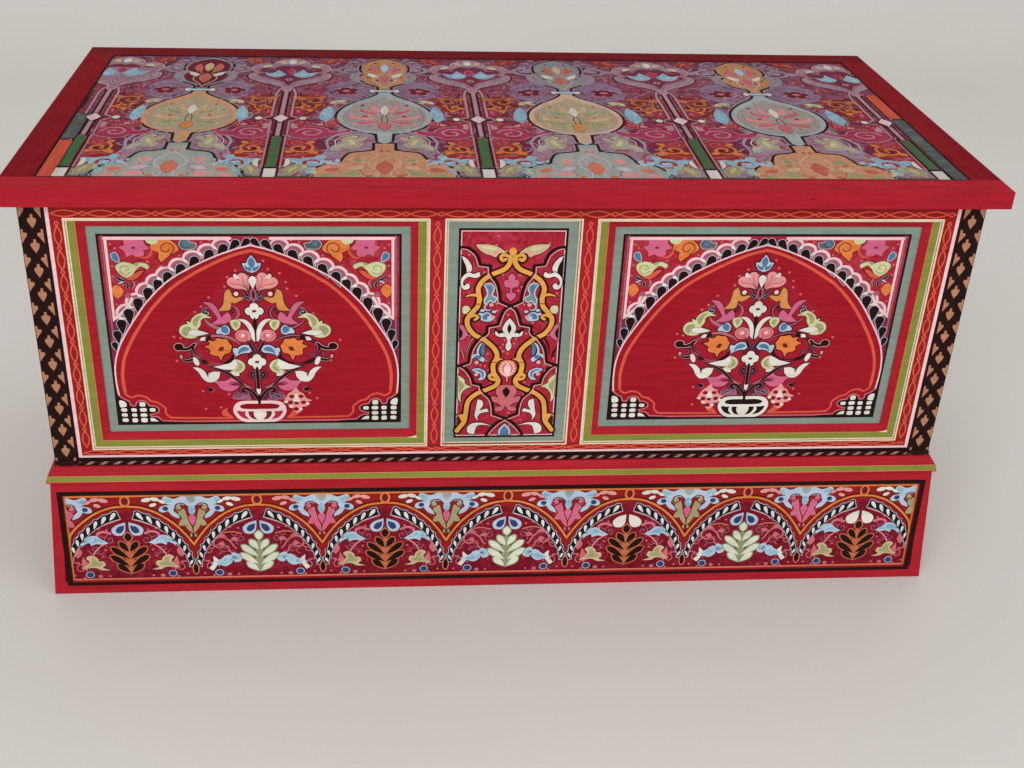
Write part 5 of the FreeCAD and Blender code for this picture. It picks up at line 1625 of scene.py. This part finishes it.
def divider():
    """The post between two medallions with its lobed head."""
    art = Art()
    head = both("-3,322! -6,340 -20,352 -38,364 -54,380 -56,398 -44,404! -56,420 -52,440 -38,448 -26,442! "
                "-22,458 -10,470 0,474!")
    art.line(head, "black", 10.6, 2, True)
    art.line(head, "lid_pink", 6.4, 3, True)
    art.fill(head, "haze", 4)
    heart = both("-2,346! -8,362 -22,374 -38,386 -46,396 -38,404! -46,414 -42,426 -32,430 -25,424! -20,434 "
                 "-9,440 0,436!")
    art.line(heart, "wine", 5.6, 4.5, True)
    art.line(heart, "lid_pink", 3.4, 5, True)
    art.fill(heart, "plum", 5.6)
    half = Art()
    half.fill("0,470! -5,464 -6,454 0,446!", "white", 5, "mauve", 0.8)
    half.fill("-8,448! -16,450 -20,458 -14,464! -9,458", "sand", 5, "mauve", 0.8)
    half.fill("-28,438! -34,442 -42,436 -40,428! -32,432", "pale_leaf", 5, "mauve", 0.8)
    half.fill("-5,396! -12,386 -22,384 -32,392 -38,406! -28,402 -22,408 -18,418! -12,408", "sky", 7, "ice",
              1.0)
    half.fill("-12,392! -20,390 -28,396! -20,398", "ice", 8)
    half.fill("0,424! -6,416 -6,406 0,398!", "raspberry", 7, "blush", 0.8)
    half.line("-10,372 -20,380 -34,388 -40,396", "rose", 1.6, 7, shape="both")
    half.line("-22,418 -30,422 -38,418", "blush", 1.4, 7, shape="both")
    half.fill(ring(-50, 388, 3.4, 3.6), "lilac", 6)
    half.fill(ring(-52, 424, 3.0, 4.0), "rose", 6)
    art.fill(ring(0, 372, 5.4, 5.4), "lid_pink", 8, "wine", 1.0)
    art.fill(ring(0, 372, 2.4, 2.4), "wine", 9)
    half.line("-4.6,320! -4.6,212!", "black", 2.4, 4)
    half.line("-4.6,206! -4.6,142!", "black", 2.4, 4)
    half.line("-9,332 -13,310 -13,280 -13,218! -24,208!", "lid_pink", 3.4, 4, edge="wine", rim=1.4)
    half.line("-20,316 -22,290 -22,240", "black", 1.8, 3)
    half.line("-24,206! -12,196! -12,150!", "lid_pink", 2.8, 4, edge="wine", rim=1.2)
    half.fill("-15,34! -22,44 -22,58 -17,64! -16,50", "white", 5, "wine", 0.9)
    half.fill(ring(-29, 208, 5.0, 6.0), "white", 6, "black", 1.0)
    half.line("-24,208! -8,208!", "black", 3.0, 4)
    half.fill("0,142! -5.6,132! -5.6,36! 0,36!", "grass", 6)
    half.line("-8,142! -8,34!", "black", 2.2, 5)
    half.line("-11,144! -11,34!", "lid_pink", 1.8, 4)
    half.fill("0,30! -7,30! -7,2! 0,2!", "white", 6)
    half.line("-9,34! -9,2!", "black", 2.2, 5)
    art.pair(half)
    art.line("0,322! 0,142!", "lid_pink", 5.4, 5)
    art.fill("0,224! -10,208! 0,192! 10,208!", "pink_white", 8, "black", 1.6)
    art.line("-8,142! 8,142!", "black", 2.2, 5)
    art.line("-8,33! 8,33!", "black", 2.4, 7)
    return art


def lid_leaf():
    """A pale blue leaf beside a medallion."""
    art = Art()
    art.fill("0,-34! -9,-18 -9,2 -5,20 2,36! 8,20 9,-2 6,-18", "sky", 4, "haze", 1.0)
    art.line("0,-24 -2,0 2,24", "ice", 1.6, 5, shape="both")
    return art


def lid_scroll(colour, edge):
    """A hooked stroke with three leaves."""
    art = Art()
    art.line("-12,-20 -16,-8 -12,6 0,12 12,6 13,-6 4,-12 -4,-6 0,1", colour, 5.0, 3, edge=edge, rim=1.0)
    art.fill("-12,6! -20,14 -18,26! -8,20 -4,12", colour, 4, edge, 0.8)
    art.fill("10,8! 20,14 26,8! 20,2 12,2", colour, 4, edge, 0.8)
    art.fill(ring(3, -4, 4.2, 3.8), edge, 5)
    art.fill("-13,-18! -20,-22 -22,-30! -12,-28 -8,-20", colour, 4, edge, 0.8)
    return art


def lid_frond(colour, edge):
    """A curved leaf with a lighter heart."""
    art = Art()
    art.fill("0,-26! -12,-14 -16,4 -10,22 4,30! 2,18 8,8 4,-4 9,-12", colour, 3, edge, 1.0)
    art.fill("0,-16! -7,-6 -9,6 -4,16! -1,6", edge, 4)
    art.fill(ring(6, 22, 4.4, 4.0), edge, 4)
    art.fill("10,2! 18,8 22,18! 12,16", colour, 3, edge, 0.8)
    return art


def big_swirl(body, light):
    """A fat curl with a lighter rim and a tail."""
    art = Art()
    art.fill("-24,-4 -21,11 -6,20 12,17 21,6! 32,10 42,24! 40,6 30,-4 22,-6! 14,-17 -2,-20 -17,-16", body, 3,
             light, 1.5)
    art.line("-15,-2 -11,8 1,12 11,5 9,-6 -1,-9 -6,-2 0,3", light, 2.6, 4)
    art.fill("-20,8! -28,16 -26,28! -16,22 -12,15", light, 3, body, 0.8)
    return art


def swoosh():
    """The pale line that sweeps round the shoulder of a dome."""
    art = Art()
    art.line("54,70 62,98 60,124 74,150 100,158 114,142", "lilac", 4.0, 3, shape="both")
    art.line("64,84 70,110 70,128 82,144 98,148 106,138", "lilac_white", 2.0, 4, shape="both")
    art.line("84,176 96,168 112,170", "lilac_white", 2.2, 4, shape="both")
    return art


def regions():
    """The broad grounds of one gap, from the divider on the left to the medallion on the right."""
    art = Art()
    art.fill("6,92! 52,86 74,112 70,160 56,200 20,208! 6,208!", "plum", 0.6)
    art.fill("6,40! 40,44 56,66 52,88 6,94!", "brick", 0.7)
    art.fill("56,70 80,58 128,96! 128,188! 92,190 72,172 74,130", "haze", 0.8)
    art.fill("6,3! 128,3! 128,90 92,78 60,60 30,44 6,42!", "haze", 0.6)
    art.fill("8,216! 30,212 54,226 58,262 44,300 8,312!", "rust_ground", 0.8)
    art.fill("44,206 84,196 70,250 62,262 52,240", "dusk", 0.7)
    art.fill("48,318 70,288 128,262! 128,372! 92,376 60,356", "dusk", 0.9)
    art.fill("62,404 96,380 128,372! 128,476! 6,476! 30,468 58,450", "deep_plum", 0.7)
    return art


def lid_rosette(colour, core):
    """Five petals and five dots round a centre."""
    art = Art()
    for turn in range(5):
        a = math.radians(72 * turn + 18)
        art.fill(ring(9 * math.cos(a), 9 * math.sin(a), 7.4, 6.4, 8), colour, 3, "mauve", 0.6)
    art.fill(ring(0, 0, 5.4, 5), core, 5, "wine", 0.8)
    for turn in range(5):
        a = math.radians(72 * turn - 18)
        art.fill(ring(14 * math.cos(a), 14 * math.sin(a), 2.2, 2.0, 6), "blush", 4)
    return art


GAP = 128


def between():
    """What fills the ground from a divider on the left to a medallion on the right, GAP further."""
    art = Art()
    art.add(regions())
    art.add(lid_leaf(), 56, 226, size=0.92)
    art.add(lid_scroll("clay_orange", "brown"), 34, 282, 20, 0.95)
    art.add(lid_scroll("orange", "brown"), 30, 252, 160, 0.6, lift=1)
    art.add(big_swirl("raspberry", "lid_pink"), 38, 156, -12, 1.12)
    art.add(big_swirl("crimson", "rose"), 26, 118, 150, 0.62)
    art.add(big_swirl("crimson", "blush"), 62, 190, 60, 0.5)
    art.add(lid_scroll("orange", "brown"), 32, 96, 190, 0.84, lift=1)
    art.add(lid_scroll("crimson", "rose"), 26, 190, 140, 0.6)
    art.add(swoosh())
    art.add(lid_frond("khaki", "pale_leaf"), 92, 122, 12, 0.8)
    art.add(lid_frond("sage", "sand"), 76, 104, -40, 0.6)
    art.add(lid_frond("lilac", "lilac_white"), 104, 174, -30, 0.7)
    art.add(lid_scroll("sky", "ice"), 44, 52, 35, 1.0)
    art.add(lid_frond("ice", "lilac_white"), 76, 46, 60, 0.6)
    art.add(lid_frond("leaf", "sand"), 27, 27, -30, 0.72)
    art.add(lid_frond("khaki", "pale_leaf"), 52, 20, 30, 0.55)
    art.add(lid_rosette("wine", "rose"), 78, 324, 10, 1.0)
    art.line("48,318 62,300 92,284 122,280", "lilac", 2.0, 3, shape="both")
    art.line("52,338 66,354 96,362 118,356", "lilac", 2.0, 3, shape="both")
    art.line("58,326 70,336 90,344", "sky", 1.6, 3, shape="both")
    art.add(lid_frond("smoke", "haze"), 98, 384, 10, 1.0)
    art.add(lid_scroll("haze", "lilac"), 76, 424, 60, 0.9)
    art.add(lid_scroll("dusk", "lilac"), 90, 458, 200, 0.75)
    art.add(lid_frond("brick", "clay_orange"), 56, 462, -40, 0.7)
    art.add(lid_frond("khaki", "ochre"), 108, 440, 30, 0.6)
    art.add(lid_scroll("plum", "rose"), 34, 340, 100, 0.6)
    art.add(lid_frond("pale_leaf", "khaki"), 68, 276, -60, 0.45)
    art.add(lid_frond("crimson", "pink"), 22, 236, 0, 0.5)
    art.line("14,130 30,140 52,138", "pink", 2.0, 2)
    art.line("62,400 84,396 104,404", "haze", 2.0, 2)
    art.line("16,74 40,80 60,74", "rose", 1.8, 2)
    for i in range(60):
        u = 64 + 75 * noise.noise(Vector((i * 1.9, 2.2, 9.1))) * 1.8
        v = 242 + 250 * noise.noise(Vector((5.1, i * 2.1, 1.3))) * 1.9
        if 10 < u < 122 and 6 < v < 476:
            art.fill(ring(u, v, 2.4, 2.0, 6), ("rose", "lid_pink", "lilac", "dusk")[i % 4], 2)
    return art


def undergrowth(width, seed):
    """Small soft hooks all over the ground, pinker towards the front and greyer towards the back."""
    art = Art()
    tones = (("crimson", "rose", "haze", "mauve", "brick"), ("mauve", "crimson", "dusk", "plum", "haze"),
             ("violet", "mauve", "plum", "dusk", "smoke"))
    hook = path("-8,-5 -4,2 2,5 7,2 6,-3 2,-2")
    for i in range(round(width * 1.1)):
        u = 4 + (width - 8) * ((i * 0.7548777 + seed * 0.31) % 1)
        v = 6 + 470 * ((i * 0.5698403 + seed * 0.17) % 1)
        kind = tones[min(2, int(v / 165))]
        turn = 360 * noise.noise(Vector((u * 0.02, v * 0.02, seed * 1.7))) * 2.2 + 75 * (i % 4)
        stroke = Art()
        stroke.line(hook, kind[(i * 3 + seed) % 5], 4.0, 1, shape="out")
        if i % 3 == 0:
            stroke.line("-5,-1 -1,5 5,7 10,3", ("lid_pink", "lilac", "haze")[i // 3 % 3], 1.1, 2,
                        shape="both")
        art.add(stroke, u, v, turn, 0.8 + 0.5 * (i * 0.618 % 1), i % 2 == 0)
    return art


def side_blocks(colours):
    """Plain blocks of colour along one short side, from the field's edge inwards."""
    art = Art()
    y = 2
    for colour, length in colours:
        art.fill(path(f"0,{y}! 0,{y + length}! 17,{y + length - 4}! 17,{y + 2}!"), colour, 6, "black", 1.6)
        y += length + 3
    return art


def lid_field():
    """The whole painted field of the lid."""
    front, back = corner("lid_front_rail", 1)[1], corner("lid_back_rail", 0)[1]
    place = (0, front, corner("lid_panel", 1)[2])
    canvas = Canvas("lid_field", "lid_top", place, (1, 0, 0), (0, 1, 0), 0.085)
    half, depth = corner("lid_right_rail", 0)[0] - 0.5, back - front - 0.5
    canvas.band((-half, 0.5), (half, depth), "lid_ground", 0.3)
    centres = (-412, -155, 103, 383)
    posts = (-535, -292, -30, 245, 530)
    stops = sorted(posts + centres)
    gaps = list(zip(stops, stops[1:]))
    pearl = ("pearl", "ash", "apricot", "apricot", "ochre", "ochre", "cool", "warm")
    kinds = (("peach", "khaki", "seafoam", "sage", "smoke", "wine", "warm", "cool"), pearl,
             ("shell_pink", "khaki", "seafoam", "sage", "smoke", "smoke", "warm", "cool"), pearl)
    art = Art()
    for x, kind in zip(centres, kinds):
        art.add(medallion(*kind), x)
    for x in posts:
        art.add(divider(), x)
    for seed, (a, b) in enumerate(gaps):
        art.add(undergrowth(b - a, seed), a)
        scale = (b - a) / GAP
        start, way = (b, -1) if a in centres else (a, 1)
        art += outlined(between(), "outline", 0.9, 1.6).mapped(lambda u, v: (start + way * u * scale, v))
    art.add(side_blocks((("coral", 122), ("slate", 96))), -half + 2.5)
    art.add(side_blocks((("slate", 218), ("coral", 104))), half - 2.5, flip=True)
    for a, b in gaps:
        start, end = (a + 9, b - 92) if a in posts else (a + 92, b - 9)
        if end - start > 8:
            art.line([(start, 4, True), (end, 4, True)], "grass", 3.4, 6, edge="black", rim=1.0)
            knot = end if a in posts else start
            art.line(ring(knot, 7, 7, 4.6), "black", 2.0, 7, True, edge="ice", rim=0.8)
    canvas.draw([item for item in art.within(half - 2, 2.5, depth - 2) if max(extent(item[1])) > 0.3])
    canvas.frame((-half, 0.5), (half, depth), 2.6, "black", 8)
    canvas.finish()


# Plain finish of the CAD nodes

# Boxes, in metres, inside which the body's and the lid's boards are bare wood
SHELL = ((-0.5695, -0.2492, 0.19), (0.5695, 0.2555, 0.5675))
UNDER = ((-0.5785, -0.2585, 0.5), (0.5785, 0.2645, 0.5885))


def dress_nodes():
    """The plain finish of each CAD node: the first rule with a word of its name, or else red enamel."""
    red = {axis: enamel(f"red_enamel_{axis}", COLOURS["red"], axis, inner=SHELL, chips=0.012)
           for axis in "xyz"}
    black = enamel("black_enamel", COLOURS["black"], "z", inner=SHELL)
    # The lid's back rail and end rails get a darker red than its front rail: painted shade, as if less light
    # fell on them.
    lid = {name: enamel(f"lid_enamel_{name}", rgb, along, 0.5, UNDER, 0.008, LID_GLOSS, ior=LID_IOR)
           for name, rgb, along in (("front", (169, 32, 47), "x"), ("back", (105, 12, 22), "x"),
                                    ("side", (125, 12, 25), "y"))}
    rules = (
        (("hinge", "screws"), iron("hinge_iron")), (("floor",), bare_wood("floor_wood", "y")),
        (("lid_batten",), bare_wood("batten_wood", "y")), (("post",), black),
        (("lid_left_rail", "lid_right_rail"), lid["side"]), (("lid_back_rail",), lid["back"]),
        (("lid_",), lid["front"]), (("muntin",), red["z"]),
        (("left_end", "right_end", "plinth_left_board", "plinth_right_board", "waist_moulding_left",
          "waist_moulding_right"), red["y"]))
    for name, node in NODES.items():
        material = next((kind for words, kind in rules if any(word in name for word in words)), red["x"])
        for slot in node.material_slots:
            slot.link = "OBJECT"
            slot.material = material


# Stage and light

def make_stage():
    """A pale floor that curves up into a backdrop."""
    n = Nodes("studio_floor")
    tone = n.remap(n.grain(0.8, 2, 0.5), 0.3, 0.7)
    n.set(Base_Color=n.mix(tone, linear((214, 212, 208)), linear((219, 217, 214))), Roughness=0.9,
          Specular_IOR_Level=0.1)
    reach, front, back, rise = 9.0, -7.0, 3.2, 6.0
    bend_radius, steps, below = 1.2, 12, 0.0005
    profile = [(front, 0.0), (back - bend_radius, 0.0)]
    for i in range(1, steps + 1):
        a = math.pi / 2 * i / steps
        y = back - bend_radius + bend_radius * math.sin(a)
        profile.append((y, bend_radius - bend_radius * math.cos(a)))
    profile.append((back, rise))
    vertices = [(x, y, z - below) for y, z in profile for x in (-reach, reach)]
    faces = [(k, k + 1, k + 3, k + 2) for k in range(0, 2 * len(profile) - 2, 2)]
    sweep = add_mesh("studio_sweep", vertices, faces, [n.material])
    for polygon in sweep.data.polygons:
        polygon.use_smooth = True


def lamp(name, place, target, size, power, colour=(1, 1, 1)):
    """A soft box at a place, turned to its target. Sizes in metres, power in watts."""
    data = bpy.data.lights.new(name, "AREA")
    data.shape = "RECTANGLE"
    data.size, data.size_y = size
    data.energy = power
    data.color = colour
    light = bpy.data.objects.new(name, data)
    light.location = place
    light.rotation_euler = (Vector(target) - Vector(place)).to_track_quat("-Z", "Y").to_euler()
    bpy.context.scene.collection.objects.link(light)


def make_light():
    """A plain level of light, at which colours look about as they are written."""
    world = bpy.data.worlds.new("studio")
    bpy.context.scene.world = world
    bpy.context.scene.view_settings.view_transform = "Standard"
    world.use_nodes = True
    ground = world.node_tree.nodes["Background"]
    ground.inputs["Color"].default_value = (1.0, 0.985, 0.96, 1)
    ground.inputs["Strength"].default_value = 0.6
    lamp("key", (-2.6, -5.4, 4.0), (0, 0, 0.4), (4.2, 3.2), 178, (1, 0.985, 0.965))
    lamp("fill", (4.2, -4.2, 3.0), (0, 0, 0.3), (3.9, 3.2), 76, (0.97, 0.985, 1))
    lamp("top", (0.2, 0.9, 3.6), (0, 0.1, 0.5), (2.4, 1.6), 13)


make_camera()
dress_nodes()
front_arches()
front_bands()
make_rope()
centre_panel()
plinth_front()
end_bands("left", -1)
end_bands("right", 1)
back_bands()
lid_field()
finish_sides()
make_stage()
make_light()
